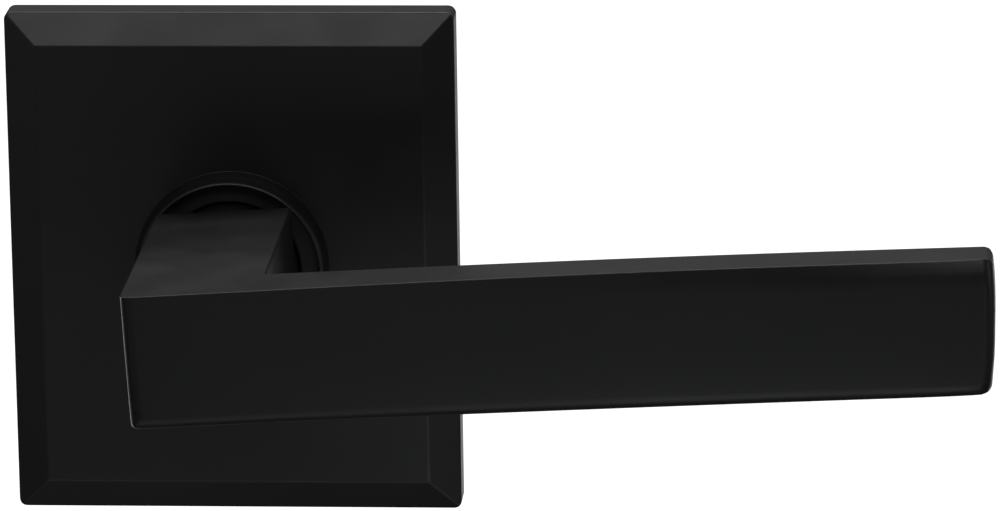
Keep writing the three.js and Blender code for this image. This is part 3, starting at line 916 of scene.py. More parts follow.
@dataclass
class Lever:
    """The L-shaped lever and what turns with it, in millimetres, before its rest tilt."""

    tilt: float = REST_TILT
    half_height: float = 9.95
    neck_half_width: float = 10.0
    neck_rear: float = 12.8
    end_x: float = 113.0
    front: Curve = Curve(-10.0, 113.0, 59.6, 59.6, 62.8)
    back: Curve = Curve(10.0, 113.0, 50.1, 51.7, 54.1)
    swell: float = 0.18
    stations: tuple[float, ...] = (
        -7.8, -6.5, -5.0, -2.5, 2.0, 6.0, 10.0, 17.0, 24.0, 31.0, 38.0, 45.0, 52.0, 59.0,
        66.0, 73.0, 80.0, 87.0, 93.0, 98.0, 102.0, 105.0, 107.5, 109.4,
    )
    # Each crown: how wide a band falls back along an edge of the front face, and how far.
    heel_crown: tuple[float, float] = (5.0, 0.3)
    toe_crown: tuple[float, float] = (15.0, 0.75)
    foot_crown: tuple[float, float] = (9.95, 0.42)
    head_crown: tuple[float, float] = (3.2, 0.95)
    head_start: float = 30.0
    # How far the end stands out past end_x at each height.
    end_lean: tuple[tuple[float, float], ...] = (
        (-9.95, -1.0), (-7.9, -0.74), (-6.5, -0.56), (-4.5, -0.3), (-2.0, -0.08), (0.0, 0.04),
        (2.5, 0.2), (4.8, 0.27), (6.2, 0.28), (7.4, 0.25), (8.5, 0.19), (9.95, 0.1),
    )
    full_round: float = 1.8
    end_top_round: float = 1.3
    end_foot_round: float = 1.4
    eased: float = 0.7
    inside_round: float = 0.4
    crisp: float = 0.35
    sharp: float = 0.14
    shank: float = 10.0
    shank_rear: float = 0.7
    groove: float = 9.4
    groove_front: float = 3.0
    groove_rear: float = 1.8
    spindle_socket: float = 4.3
    spindle_socket_depth: float = 25.3
    tang_socket: float = 5.8
    tang_socket_depth: float = 4.5
    screw_depth: float = 19.0
    screw_hole: float = 2.6

    def build(self, finishes: Finishes) -> None:
        """Builds the lever and dresses it."""
        self.handle().fit("lever_handle", Body.LEVER, Slot.BLACK_COAT, finishes.black_coat)

    def rough_bar(self) -> Workpiece:
        """Builds the square-edged L: a corner block, the grip along X and the neck along Y."""
        half, front, back = self.half_height, self.front.start, self.back.start
        neck = self.neck_half_width
        work = Workpiece.block("lever", (-neck, -front, -half), (neck, -back, half))
        with work.editing():
            work.pick_faces(lambda centre, normal: normal.x > FACING)
            work.extrude((self.end_x - neck, 0, 0))
            work.pick_faces(lambda centre, normal: normal.y > FACING and centre.x < neck)
            work.extrude((0, back - self.neck_rear, 0))
            for x in self.stations:
                work.slice_at((x, 0, 0), (1, 0, 0))
            for z, _ in self.end_lean[1:-1]:
                work.slice_at((0, 0, z), (0, 0, 1))
        return work.heal()

    def weigh_edges(self, work: Workpiece) -> None:
        """Marks how far each edge of the rough bar is rounded."""
        half, front, back = self.half_height, self.front.start, self.back.start
        neck, end = self.neck_half_width, self.end_x

        def on(a: Vector, b: Vector, axis: int, value: float) -> bool:
            """Returns whether both ends lie at a value on an axis."""
            return abs(a[axis] - value) < NEAR and abs(b[axis] - value) < NEAR

        def beyond(a: Vector, b: Vector) -> bool:
            """Returns whether both ends lie on the grip, past the neck."""
            return min(a.x, b.x) > neck - NEAR

        def behind(a: Vector, b: Vector) -> bool:
            """Returns whether the edge lies on the neck, behind the grip's back face."""
            return max(a.y, b.y) > NEAR - back

        full, eased, crisp = self.full_round, self.eased, self.crisp
        rules: list[tuple[float, Callable[[Vector, Vector], bool]]] = [
            (self.sharp, lambda a, b: on(a, b, 2, half) and on(a, b, 1, -front)),
            (crisp, lambda a, b: on(a, b, 2, half) and on(a, b, 1, -back) and beyond(a, b)),
            (crisp, lambda a, b: on(a, b, 2, half) and on(a, b, 0, -neck)),
            (crisp, lambda a, b: on(a, b, 2, half) and on(a, b, 0, neck) and behind(a, b)),
            (full, lambda a, b: on(a, b, 2, -half) and on(a, b, 1, -front)),
            (full, lambda a, b: on(a, b, 0, -neck) and on(a, b, 1, -front)),
            (full, lambda a, b: on(a, b, 0, end) and on(a, b, 1, -front)),
            (self.end_top_round, lambda a, b: on(a, b, 0, end) and on(a, b, 2, half)),
            (self.end_foot_round, lambda a, b: on(a, b, 0, end) and on(a, b, 2, -half)),
            (eased, lambda a, b: on(a, b, 0, end) and on(a, b, 1, -back)),
            (eased, lambda a, b: on(a, b, 2, -half) and on(a, b, 1, -back) and beyond(a, b)),
            (eased, lambda a, b: on(a, b, 2, -half) and on(a, b, 0, -neck)),
            (eased, lambda a, b: on(a, b, 2, -half) and on(a, b, 0, neck) and behind(a, b)),
            (self.inside_round, lambda a, b: on(a, b, 0, neck) and on(a, b, 1, -back)),
            (crisp, lambda a, b: on(a, b, 1, -self.neck_rear) and (
                on(a, b, 0, neck) or on(a, b, 0, -neck)
                or on(a, b, 2, half) or on(a, b, 2, -half))),
        ]
        with work.editing():
            for width, rule in rules:
                if not work.pick_edges(rule):
                    log.warning("no edge for a round of %.2f mm", width)
                work.weigh(width / full)

    def crown(self, x: float, z: float) -> float:
        """Returns how far the front face falls back at a place.

        It falls back towards the heel, the toe and the foot along the whole grip, and towards the
        head more and more from head_start to the end.
        """
        back = 0.0
        for (width, depth), inward in (
            (self.heel_crown, x + self.neck_half_width),
            (self.toe_crown, self.end_x - x),
            (self.foot_crown, z + self.half_height),
        ):
            back += depth * max(0.0, 1 - inward / width) ** 3
        width, depth = self.head_crown
        along = max(0.0, (x - self.head_start) / (self.end_x - self.head_start))
        return back + depth * along**1.5 * max(0.0, 1 - (self.half_height - z) / width) ** 2

    def bend_faces(self, work: Workpiece) -> None:
        """Gives the grip its curved faces, its slight swell and its leaning end."""
        neck, end, half = self.neck_half_width, self.end_x, self.half_height
        with work.editing():
            for x in (-neck, *self.stations, end):
                for z, _ in self.end_lean:
                    work.pick_points(
                        lambda p: abs(p.x - x) < NEAR and abs(p.z - z) < NEAR
                        and abs(p.y + self.front.start) < NEAR
                    )
                    work.move((0, self.front.start - self.front.at(x) + self.crown(x, z), 0))
                if x <= neck:
                    continue
                work.pick_points(
                    lambda p: abs(p.x - x) < NEAR and abs(p.y + self.back.start) < NEAR
                )
                work.move((0, self.back.start - self.back.at(x), 0))
                rise = self.swell * math.sin(math.pi * (x - neck) / (end - neck))
                for side in (1, -1):
                    work.pick_points(
                        lambda p: abs(p.x - x) < NEAR and abs(p.z - side * half) < NEAR
                    )
                    work.move((0, 0, side * rise))
            for z, lean in self.end_lean:
                work.pick_points(lambda p: abs(p.x - end) < NEAR and abs(p.z - z) < NEAR)
                work.move((lean, 0, 0))

    def shank_piece(self) -> Workpiece:
        """Builds the round shank with its groove, rooted inside the neck."""
        ease, radius = 0.3, self.shank
        root_radius, root, shoulder = radius - 0.6, -self.neck_rear - 2, -self.neck_rear - CLEAR
        profile = [
            (0, root),
            (root_radius, root),
            (root_radius, shoulder),
            (radius, shoulder),
            (radius, -self.groove_front),
            (self.groove, -self.groove_front),
            (self.groove, -self.groove_rear),
            (radius, -self.groove_rear),
            (radius, -self.shank_rear - ease),
            (radius - ease, -self.shank_rear),
            (0, -self.shank_rear),
        ]
        return Workpiece.turned("shank", profile, sides=128)

    def handle(self) -> Workpiece:
        """Builds the whole lever at its rest tilt."""
        work = self.rough_bar()
        self.weigh_edges(work)
        self.bend_faces(work)
        work.round_weighed(self.full_round, segments=6)
        work.combine(Work.JOIN, self.shank_piece())
        socket, tang = self.spindle_socket, self.tang_socket
        sockets = [
            Workpiece.block(
                "spindle_socket",
                (-socket, -self.spindle_socket_depth, -socket), (socket, 0, socket),
            ),
            Workpiece.block(
                "tang_socket", (-tang, -self.tang_socket_depth, -tang), (tang, 0, tang)
            ),
            Workpiece.rod(
                "screw_hole", self.screw_hole,
                (0, -self.screw_depth, -self.half_height - OVERCUT), (0, -self.screw_depth, 0),
                sides=40,
            ),
        ]
        work.combine(Work.CUT, *sockets)
        return work.turn(self.tilt).smooth()


@dataclass
class Fixing:
    """The sizes that screws of every kind share, in millimetres."""

    radius: float
    pitch: float
    hex_radius: float
    hex_depth: float

    def hex_tool(self, start: float, end: float) -> Workpiece:
        """Builds the six-sided tool that cuts a socket along Y."""
        return Workpiece.rod("socket", self.hex_radius, (0, start, 0), (0, end, 0), sides=6)

    def trimmed_thread(self, name: str, start: float, end: float) -> Workpiece:
        """Builds a thread along Y with both ends chamfered."""
        chamfer = END_CHAMFER * self.pitch
        core, outside = self.radius - chamfer, self.radius + CLEAR
        envelope = Workpiece.turned(
            "envelope",
            [(0, start), (core, start), (outside, start + chamfer),
             (outside, end - chamfer), (core, end), (0, end)],
            sides=40,
        )
        work = Workpiece.thread(
            name, self.radius, self.pitch, start - self.pitch, end + self.pitch
        )
        return work.combine(Work.MEET, envelope)

    def grub(self, name: str, head: float, point: float) -> Workpiece:
        """Builds a headless screw along Y, its socket at its head end."""
        work = self.trimmed_thread(name, head, point)
        return work.combine(Work.CUT, self.hex_tool(head - OVERCUT, head + self.hex_depth))


@dataclass
class MountingPlate:
    """The plate against the door, its tabs, and the screws and washers in it, in millimetres."""

    thickness: float = 1.6
    corner: float = 2.0
    edge_round: float = 0.16
    bore: float = 10.5
    tab_half_width: float = 7.0
    tab_depth: float = 4.6
    hook_half_width: float = 5.0
    hook_front: float = 4.2
    hook_rear: float = 2.4
    hook_height: float = 1.1
    screw_depth: float = 2.8
    screw_head: float = -38.0
    screw_point: float = -34.1
    cover_screw: Fixing = field(default_factory=lambda: Fixing(1.5, 0.5, 0.9, 1.4))
    bolt: Fixing = field(default_factory=lambda: Fixing(2.0, 0.7, 1.45, 1.54))
    bolt_x: float = 19.0
    bolt_head: float = 3.5
    bolt_top: float = -4.8
    bolt_seat: float = -2.6
    bolt_plain_end: float = 8.0
    neck_relief: float = 0.02
    bolt_end: float = 40.0
    slot_radius: float = 2.3
    slot_travel: float = 1.5
    washer_radius: float = 3.9
    washer_hole: float = 2.1
    washer_rear: float = -1.7
    washer_thickness: float = 0.8
    washer_opening: float = 16.0
    case_hole: float = 1.35
    pin_hole: float = 1.6

    def __post_init__(self) -> None:
        """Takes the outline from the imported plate."""
        low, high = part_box("mounting_plate")
        self.half_width = (high.x - low.x) / 2 / MM
        self.half_height = -low.z / MM

    def build(self, finishes: Finishes) -> None:
        """Builds the plate and its fixings and dresses them."""
        self.plate().fit("mounting_plate", Body.ROSE, Slot.ZINC_STEEL, finishes.zinc_plate)
        screw = self.cover_screw.grub("rose_set_screw", self.screw_head, self.screw_point)
        screw.stand_up(-self.screw_depth).smooth().fit(
            "rose_set_screw", Body.ROSE, Slot.SCREW_STEEL, finishes.black_oxide)
        right = self.through_bolt()
        left = right.copy("through_bolt_left").shift((-2 * self.bolt_x, 0, 0))
        right.fit("through_bolt_right", Body.ROSE, Slot.BOLT_STEEL, finishes.bolt_zinc)
        left.fit("through_bolt_left", Body.ROSE, Slot.BOLT_STEEL, finishes.bolt_zinc)
        right = self.split_washer()
        left = right.copy("bolt_washer_left").shift((-2 * self.bolt_x, 0, 0))
        right.fit("bolt_washer_right", Body.ROSE, Slot.SPRING_STEEL, finishes.spring_steel)
        left.fit("bolt_washer_left", Body.ROSE, Slot.SPRING_STEEL, finishes.spring_steel)

    def plate(self) -> Workpiece:
        """Builds the sheet, folds out its tabs and hook, and cuts its holes."""
        wide, tall, sheet = self.half_width, self.half_height, self.thickness
        work = Workpiece.block("plate", (-wide, -sheet, -tall), (wide, 0, tall))
        with work.editing():
            work.pick_upright_edges()
            bpy.ops.mesh.bevel(offset=self.corner * MM, segments=8, affect="EDGES")
            for x in (-self.tab_half_width, self.tab_half_width):
                work.slice_at((x, 0, 0), (1, 0, 0))
            for z in (sheet - tall, tall - sheet):
                work.slice_at((0, 0, z), (0, 0, 1))
            work.pick_faces(
                lambda centre, normal: normal.y < -FACING
                and abs(centre.x) < self.tab_half_width and abs(centre.z) > tall - sheet
            )
            work.extrude((0, sheet - self.tab_depth, 0))
            for x in (-self.hook_half_width, self.hook_half_width):
                work.slice_at((x, 0, 0), (1, 0, 0))
            for y in (-self.hook_front, -self.hook_rear):
                work.slice_at((0, y, 0), (0, 1, 0))
            work.pick_faces(
                lambda centre, normal: normal.z > FACING and abs(centre.x) < self.hook_half_width
                and -self.hook_front < centre.y < -self.hook_rear
            )
            work.extrude((0, 0, self.hook_height))
        holes = [self.round_hole(self.bore, sides=64)]
        for angle in CASE_SCREW_ANGLES:
            holes.append(self.round_hole(self.case_hole).placed(CASE_SCREW_CIRCLE, angle))
        for angle in STOP_PIN_ANGLES:
            holes.append(self.round_hole(self.pin_hole).placed(STOP_PIN_CIRCLE, angle))
        holes.extend(self.slot(side * self.bolt_x) for side in (-1, 1))
        holes.append(Workpiece.rod(
            "hole", self.cover_screw.radius + CLEAR,
            (0, -self.screw_depth, -tall - OVERCUT), (0, -self.screw_depth, 2 * OVERCUT - tall),
            sides=24,
        ))
        work.combine(Work.CUT, *holes).heal()
        return work.round_edges(self.edge_round, segments=2, angle=40).smooth()

    def round_hole(self, radius: float, sides: int = 24) -> Workpiece:
        """Builds the tool that cuts a round hole through the sheet, on the Y axis."""
        front = -self.thickness - OVERCUT
        return Workpiece.rod("hole", radius, (0, OVERCUT, 0), (0, front, 0), sides)

    def slot(self, x: float) -> Workpiece:
        """Builds the tool that cuts a bolt's slot through the sheet."""
        radius, reach = self.slot_radius, self.slot_radius + self.slot_travel
        front = -self.thickness - OVERCUT
        work = Workpiece.block("slot", (x - reach, front, -radius), (x + reach, OVERCUT, radius))
        with work.editing():
            work.pick_upright_edges()
            bpy.ops.mesh.bevel(offset=(radius - NEAR) * MM, segments=10, affect="EDGES")
        return work

    def through_bolt(self) -> Workpiece:
        """Builds the right-hand bolt: a round head, a plain neck and a threaded shank."""
        head, neck, ease, under = self.bolt_head, self.bolt.radius - self.neck_relief, 0.35, 0.12
        body = Workpiece.turned(
            "through_bolt_right",
            [(0, self.bolt_top),
             *arc((head - ease, self.bolt_top + ease), ease, -90, 0, 4),
             *arc((head - under, self.bolt_seat - under), under, 0, 90, 2),
             (neck, self.bolt_seat), (neck, self.bolt_plain_end), (0, self.bolt_plain_end)],
            sides=48,
        )
        thread = self.bolt.trimmed_thread("thread", self.bolt_plain_end - 1, self.bolt_end)
        body.combine(Work.JOIN, thread)
        socket = self.bolt.hex_tool(self.bolt_top - OVERCUT, self.bolt_top + self.bolt.hex_depth)
        return body.combine(Work.CUT, socket).shift((self.bolt_x, 0, 0)).smooth()

    def split_washer(self) -> Workpiece:
        """Builds the right-hand split washer."""
        ease = 0.1
        rear, front = self.washer_rear, self.washer_rear - self.washer_thickness
        inner, outer = self.washer_hole, self.washer_radius
        profile = [
            (inner + ease, front), (outer - ease, front), (outer, front + ease),
            (outer, rear - ease), (outer - ease, rear), (inner + ease, rear),
            (inner, rear - ease), (inner, front + ease),
        ]
        work = Workpiece.open_ring("bolt_washer_right", profile, self.washer_opening, sides=48)
        return work.shift((self.bolt_x, 0, 0)).smooth()


@dataclass
class SpringCase:
    """The cup in the door's bore with its bush, screws, stop pins and spring, in millimetres."""

    radius: float = 16.0
    wall: float = 1.2
    front: float = 0.1
    rear: float = 10.0
    draw_round: float = 1.6
    floor_hole: float = 8.3
    bead_inner: float = 10.9
    bead_outer: float = 13.1
    bead_depth: float = 0.3
    ear_radius: float = 3.6
    web_inset: float = 0.04
    leg_hole: float = 1.0
    screw: Fixing = field(default_factory=lambda: Fixing(1.25, 0.45, 1.25, 0.8))
    screw_front: float = -1.6
    screw_seat: float = 1.3
    screw_head: float = 2.6
    screw_head_height: float = 1.6
    bush_bore: float = 6.9
    bush_radius: float = 8.2
    bush_flange: float = 9.6
    bush_front: float = 8.2
    bush_flange_rear: float = 8.7
    pin_radius: float = 1.5
    pin_front: float = -1.6
    pin_rear: float = 2.4
    wire_radius: float = 0.65
    coil_radius: float = 12.0
    coil_front: float = 3.7
    coil_pitch: float = 1.4
    hub_leg_angle: float = 156.1
    case_leg_angle: float = 195.0
    leg_front: float = 0.9
    leg_bend: float = 2.6
    whole_turns: int = 3
    steps_a_turn: int = 40

    def build(self, finishes: Finishes) -> None:
        """Builds the pieces and dresses them."""
        self.cup().fit("spring_case", Body.ROSE, Slot.ZINC_STEEL, finishes.zinc_plate)
        self.bush().fit("case_bush", Body.ROSE, Slot.WHITE_ACETAL, finishes.white_acetal)
        first = self.case_screw()
        step = CASE_SCREW_ANGLES[1] - CASE_SCREW_ANGLES[0]
        screws = [first, *(first.copy("case_screw").turn(step * i) for i in (1, 2))]
        for number, screw in enumerate(screws, start=1):
            screw.fit(f"case_screw_{number}", Body.ROSE, Slot.BOLT_STEEL, finishes.bolt_zinc)
        pin = self.stop_pin()
        for number, work in enumerate((pin, pin.copy("stop_pin").turn(180)), start=1):
            work.fit(f"stop_pin_{number}", Body.ROSE, Slot.PLAIN_STEEL, finishes.turned_steel)
        self.fit_spring(finishes.spring_steel)

    def cup(self) -> Workpiece:
        """Builds the drawn cup with its ears and holes."""
        inner, floor = self.radius - self.wall, self.rear - self.wall
        soft, ease = self.draw_round - self.wall, 0.15
        bead_low, bead = self.rear - self.bead_depth, self.bead_depth
        blank_front = self.front - OVERCUT
        profile = [
            (inner, blank_front),
            *arc((inner - soft, floor - soft), soft, 0, 90, 4),
            (self.floor_hole, floor),
            (self.floor_hole, self.rear - ease),
            (self.floor_hole + ease, self.rear),
            (self.bead_inner, self.rear),
            (self.bead_inner + bead, bead_low),
            (self.bead_outer - bead, bead_low),
            (self.bead_outer, self.rear),
            *arc(
                (self.radius - self.draw_round, self.rear - self.draw_round),
                self.draw_round, 90, 0, 8,
            ),
            (self.radius, blank_front),
        ]
        cup = Workpiece.turned("spring_case", profile, sides=128)
        cuts = []
        reach = CASE_SCREW_CIRCLE - self.radius + self.wall / 2
        half_web = self.ear_radius - self.web_inset
        for angle in CASE_SCREW_ANGLES:
            lobe = Workpiece.rod("ear", self.ear_radius, (0, blank_front, 0), (0, self.wall, 0))
            web = Workpiece.block(
                "web", (-reach, blank_front, -half_web), (0, self.wall, half_web)
            )
            ear = lobe.combine(Work.JOIN, web).placed(CASE_SCREW_CIRCLE, angle)
            cup.combine(Work.JOIN, ear)
            hole = Workpiece.rod(
                "hole", self.screw.radius + CLEAR,
                (0, -2 * OVERCUT, 0), (0, self.wall + OVERCUT, 0), sides=24,
            )
            cuts.append(hole.placed(CASE_SCREW_CIRCLE, angle))
        leg_hole = Workpiece.rod(
            "leg_hole", self.leg_hole,
            (inner - OVERCUT, self.coil_rear(), 0), (self.radius + OVERCUT, self.coil_rear(), 0),
            sides=24,
        )
        wide = CASE_SCREW_CIRCLE + 2 * self.ear_radius
        trim = Workpiece.block("trim", (-wide, -3 * OVERCUT, -wide), (wide, self.front, wide))
        cup.combine(Work.CUT, trim, *cuts, leg_hole.turn(self.case_leg_angle))
        return cup.smooth()

    def bush(self) -> Workpiece:
        """Builds the flanged bush in the cup's floor."""
        ease, lead = 0.15, 0.3
        profile = [
            (self.bush_bore, self.bush_front + ease),
            (self.bush_bore + ease, self.bush_front),
            (self.bush_flange - ease, self.bush_front),
            (self.bush_flange, self.bush_front + ease),
            (self.bush_flange, self.bush_flange_rear),
            (self.bush_radius, self.bush_flange_rear),
            *arc((self.bush_radius - ease, self.rear - ease), ease, 0, 90, 3),
            *arc((self.bush_bore + lead, self.rear - lead), lead, 90, 180, 4),
        ]
        return Workpiece.turned("case_bush", profile, sides=96).smooth()

    def case_screw(self) -> Workpiece:
        """Builds the screw in the topmost ear."""
        head, top = self.screw_head, self.screw_seat + self.screw_head_height
        ease, under, crown, radius = 0.2, 0.1, 0.7, self.screw.radius
        work = Workpiece.turned(
            "case_screw",
            [(0, self.screw_front), (radius - ease, self.screw_front),
             (radius, self.screw_front + ease), (radius, self.screw_seat),
             (head - under, self.screw_seat), (head, self.screw_seat + under),
             *arc((head - crown, top - crown), crown, 0, 90, 5),
             (0, top)],
            sides=40,
        )
        tool = self.screw.hex_tool(top - self.screw.hex_depth, top + OVERCUT)
        work.combine(Work.CUT, tool).placed(CASE_SCREW_CIRCLE, CASE_SCREW_ANGLES[0])
        return work.smooth()

    def stop_pin(self) -> Workpiece:
        """Builds the first stop pin, its ends rounded."""
        ease, radius = 0.3, self.pin_radius
        work = Workpiece.turned(
            "stop_pin",
            [(0, self.pin_front),
             *arc((radius - ease, self.pin_front + ease), ease, -90, 0, 3),
             *arc((radius - ease, self.pin_rear - ease), ease, 0, 90, 3),
             (0, self.pin_rear)],
            sides=32,
        )
        return work.smooth().placed(STOP_PIN_CIRCLE, STOP_PIN_ANGLES[0])

    def turns(self) -> float:
        """Returns the coil's turns, from the hub's hole to the case's hole."""
        return self.whole_turns + (self.case_leg_angle - self.hub_leg_angle) / 360

    def coil_rear(self) -> float:
        """Returns the Y of the coil's last turn."""
        return self.coil_front + self.coil_pitch * self.turns()

    def wire_path(self) -> list[Point]:
        """Returns the middle of the wire: a leg forward, the coil, a leg out to the case."""
        def at(radius: float, degrees: float, y: float) -> Point:
            """Returns a point at a distance and angle round the axis."""
            angle = math.radians(degrees)
            return (radius * math.cos(angle), y, radius * math.sin(angle))

        bend = math.degrees(2 * self.wire_radius / self.coil_radius)
        start, turns = self.hub_leg_angle, self.turns()
        legs = [
            at(self.coil_radius, start - bend, self.leg_front),
            at(self.coil_radius, start - bend, (self.leg_front + self.leg_bend) / 2),
            at(self.coil_radius, start - bend, self.leg_bend),
            at(self.coil_radius, start - bend / 2, self.coil_front - self.wire_radius / 2),
        ]
        steps = round(turns * self.steps_a_turn)
        coil = [
            at(self.coil_radius, start + 360 * turns * i / steps,
               self.coil_front + self.coil_pitch * turns * i / steps)
            for i in range(1, steps)
        ]
        ends = [
            at((self.coil_radius + self.radius) / 2, self.case_leg_angle, self.coil_rear()),
            at(self.radius, self.case_leg_angle, self.coil_rear()),
        ]
        return [*legs, *coil, *ends]

    def fit_spring(self, finish: bpy.types.Material) -> None:
        """Winds the spring between the case and the hub."""
        clear_bench()
        data = bpy.data.curves.new("return_spring_fine", "CURVE")
        data.dimensions = "3D"
        data.bevel_depth = self.wire_radius * MM
        data.bevel_resolution = 4
        data.use_fill_caps = True
        data.resolution_u = 2
        path = self.wire_path()
        spline = data.splines.new("NURBS")
        spline.points.add(len(path) - 1)
        for point, place in zip(spline.points, path):
            point.co = (*(v * MM for v in place), 1.0)
        spline.order_u = 4
        spline.use_endpoint_u = True
        wire = bpy.data.objects.new("return_spring_fine", data)
        bpy.context.scene.collection.objects.link(wire)
        bpy.context.view_layer.objects.active = wire
        wire.select_set(True)
        bpy.ops.object.convert(target="MESH")
        work = Workpiece("return_spring_fine").smooth(50)
        work.piece.data.materials.append(finish)
        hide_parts("return_spring")
        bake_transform(work.piece)
        log.info("%s: %d faces", work.piece.name, len(work.piece.data.polygons))


@dataclass
class Drive:
    """What turns with the lever behind the rose, in millimetres, before the rest tilt."""

    tilt: float = REST_TILT
    spindle_half: float = 4.0
    spindle_chamfer: float = 0.6
    spindle_edge: float = 0.25
    spindle_front: float = -25.0
    spindle_rear: float = 42.0
    socket_half: float = 4.3
    tang_half: float = 5.5
    tang_front: float = -4.2
    hub_front: float = 0.6
    flange_radius: float = 14.2
    flange_rear: float = 2.6
    barrel_radius: float = 10.3
    barrel_rear: float = 7.9
    journal_radius: float = 6.6
    journal_rear: float = 10.6
    notch_inner: float = 10.9
    notch_angles: tuple[float, ...] = (60.0, 240.0)
    travel: float = 45.0
    pin_allowance: float = 8.15
    leg_hole: float = 1.0
    leg_circle: float = 12.0
    leg_angle: float = 146.8
    ring_inner: float = 9.7
    ring_outer: float = 12.0
    ring_front: float = -2.9
    ring_rear: float = -1.9
    ring_opening: float = 36.0
    neck_screw: Fixing = field(default_factory=lambda: Fixing(2.5, 0.8, 1.45, 2.2))
    neck_screw_head: float = -9.55
    neck_screw_point: float = -4.3
    neck_screw_depth: float = 19.0

    def build(self, finishes: Finishes) -> None:
        """Builds the pieces and dresses them."""
        self.spindle().fit("spindle", Body.LEVER, Slot.ZINC_STEEL, finishes.zinc_plate)
        self.hub().fit("drive_hub", Body.LEVER, Slot.PLAIN_STEEL, finishes.turned_steel)
        self.circlip().fit("shank_circlip", Body.LEVER, Slot.SPRING_STEEL, finishes.spring_steel)
        screw = self.neck_screw.grub("neck_screw", self.neck_screw_head, self.neck_screw_point)
        screw.stand_up(-self.neck_screw_depth).turn(self.tilt).smooth().fit(
            "spindle_set_screw", Body.LEVER, Slot.SCREW_STEEL, finishes.black_oxide)

    def spindle(self) -> Workpiece:
        """Builds the square bar, its long edges eased and its ends chamfered."""
        half = self.spindle_half
        work = Workpiece.block(
            "spindle", (-half, self.spindle_front, -half), (half, self.spindle_rear, half)
        )
        with work.editing():
            shrink = 1 - self.spindle_chamfer / half
            for end, inward in ((self.spindle_front, 1), (self.spindle_rear, -1)):
                work.slice_at((0, end + inward * self.spindle_chamfer, 0), (0, 1, 0))
                work.pick_points(lambda p: abs(p.y - end) < NEAR)
                bpy.ops.transform.resize(value=(shrink, 1, shrink), center_override=(0, 0, 0))
            work.pick_edges(lambda a, b: abs(a.y - b.y) > self.spindle_chamfer / 2)
            bpy.ops.mesh.bevel(offset=self.spindle_edge * MM, segments=3, affect="EDGES")
        return work.turn(self.tilt).smooth(25)

    def notch(self, angle: float) -> Workpiece:
        """Builds the tool that cuts a stop pin's notch, from its angle through the travel."""
        past = 0.3
        front, rear = self.hub_front - past, self.flange_rear + past
        outer, length = self.flange_radius + OVERCUT, self.travel + 2 * self.pin_allowance
        inner = self.notch_inner
        profile = [(inner, front), (outer, front), (outer, rear), (inner, rear)]
        tool = Workpiece.open_ring("notch", profile, 360 - length, sides=24)
        return tool.turn(angle - self.pin_allowance + length / 2 - 90)

    def hub(self) -> Workpiece:
        """Builds the hub: tang, notched flange, barrel and journal, with the spindle's hole."""
        ease, fillet, chamfer, tang_round = 0.2, 0.3, 0.4, 0.3
        profile = [
            (0, self.hub_front),
            (self.flange_radius - ease, self.hub_front),
            (self.flange_radius, self.hub_front + ease),
            (self.flange_radius, self.flange_rear - ease),
            (self.flange_radius - ease, self.flange_rear),
            *arc((self.barrel_radius + fillet, self.flange_rear + fillet), fillet, 270, 180, 3),
            (self.barrel_radius, self.barrel_rear - ease),
            (self.barrel_radius - ease, self.barrel_rear),
            (self.journal_radius, self.barrel_rear),
            (self.journal_radius, self.journal_rear - chamfer),
            (self.journal_radius - chamfer, self.journal_rear),
            (0, self.journal_rear),
        ]
        work = Workpiece.turned("drive_hub", profile, sides=120)
        half, hole = self.tang_half, self.socket_half
        tang = Workpiece.block(
            "tang", (-half, self.tang_front, -half), (half, self.hub_front + OVERCUT, half)
        ).round_edges(tang_round)
        work.combine(Work.JOIN, tang)
        bore = Workpiece.block(
            "bore",
            (-hole, self.tang_front - OVERCUT, -hole), (hole, self.journal_rear + OVERCUT, hole),
        )
        leg_hole = Workpiece.rod(
            "leg_hole", self.leg_hole,
            (0, self.hub_front - OVERCUT, 0), (0, self.flange_rear + OVERCUT / 2, 0), sides=24,
        ).placed(self.leg_circle, self.leg_angle)
        notches = [self.notch(angle) for angle in self.notch_angles]
        work.combine(Work.CUT, bore, leg_hole, *notches)
        return work.turn(self.tilt).smooth()

    def circlip(self) -> Workpiece:
        """Builds the open ring in the shank's groove."""
        ease = 0.12
        inner, outer = self.ring_inner, self.ring_outer
        front, rear = self.ring_front, self.ring_rear
        profile = [
            (inner + ease, front), (outer - ease, front), (outer, front + ease),
            (outer, rear - ease), (outer - ease, rear), (inner + ease, rear),
            (inner, rear - ease), (inner, front + ease),
        ]
        work = Workpiece.open_ring("shank_circlip", profile, self.ring_opening)
        return work.turn(self.tilt).smooth()


# ---- Studio ----


@dataclass(frozen=True)
class SoftBox:
    """A rectangular lamp that faces the object's middle."""

    name: str
    azimuth: float
    elevation: float
    distance: float
    width: float
    height: float
    power: float
    colour: Point = (1.0, 1.0, 1.0)
    aim: Point = (0.03, -0.03, 0.0)

    def build(self) -> None:
        """Adds the lamp, hidden from the camera."""
        around, above = math.radians(self.azimuth), math.radians(self.elevation)
        away = Vector((
            math.sin(around) * math.cos(above), -math.cos(around) * math.cos(above), math.sin(above)
        ))
        data = bpy.data.lights.new(self.name, "AREA")
        data.shape = "RECTANGLE"
        data.size, data.size_y = self.width, self.height
        data.energy = self.power
        data.color = self.colour
        lamp = bpy.data.objects.new(self.name, data)
        bpy.context.scene.collection.objects.link(lamp)
        lamp.location = Vector(self.aim) + away * self.distance
        lamp.rotation_euler = away.to_track_quat("Z", "Y").to_euler()
        lamp.visible_camera = False


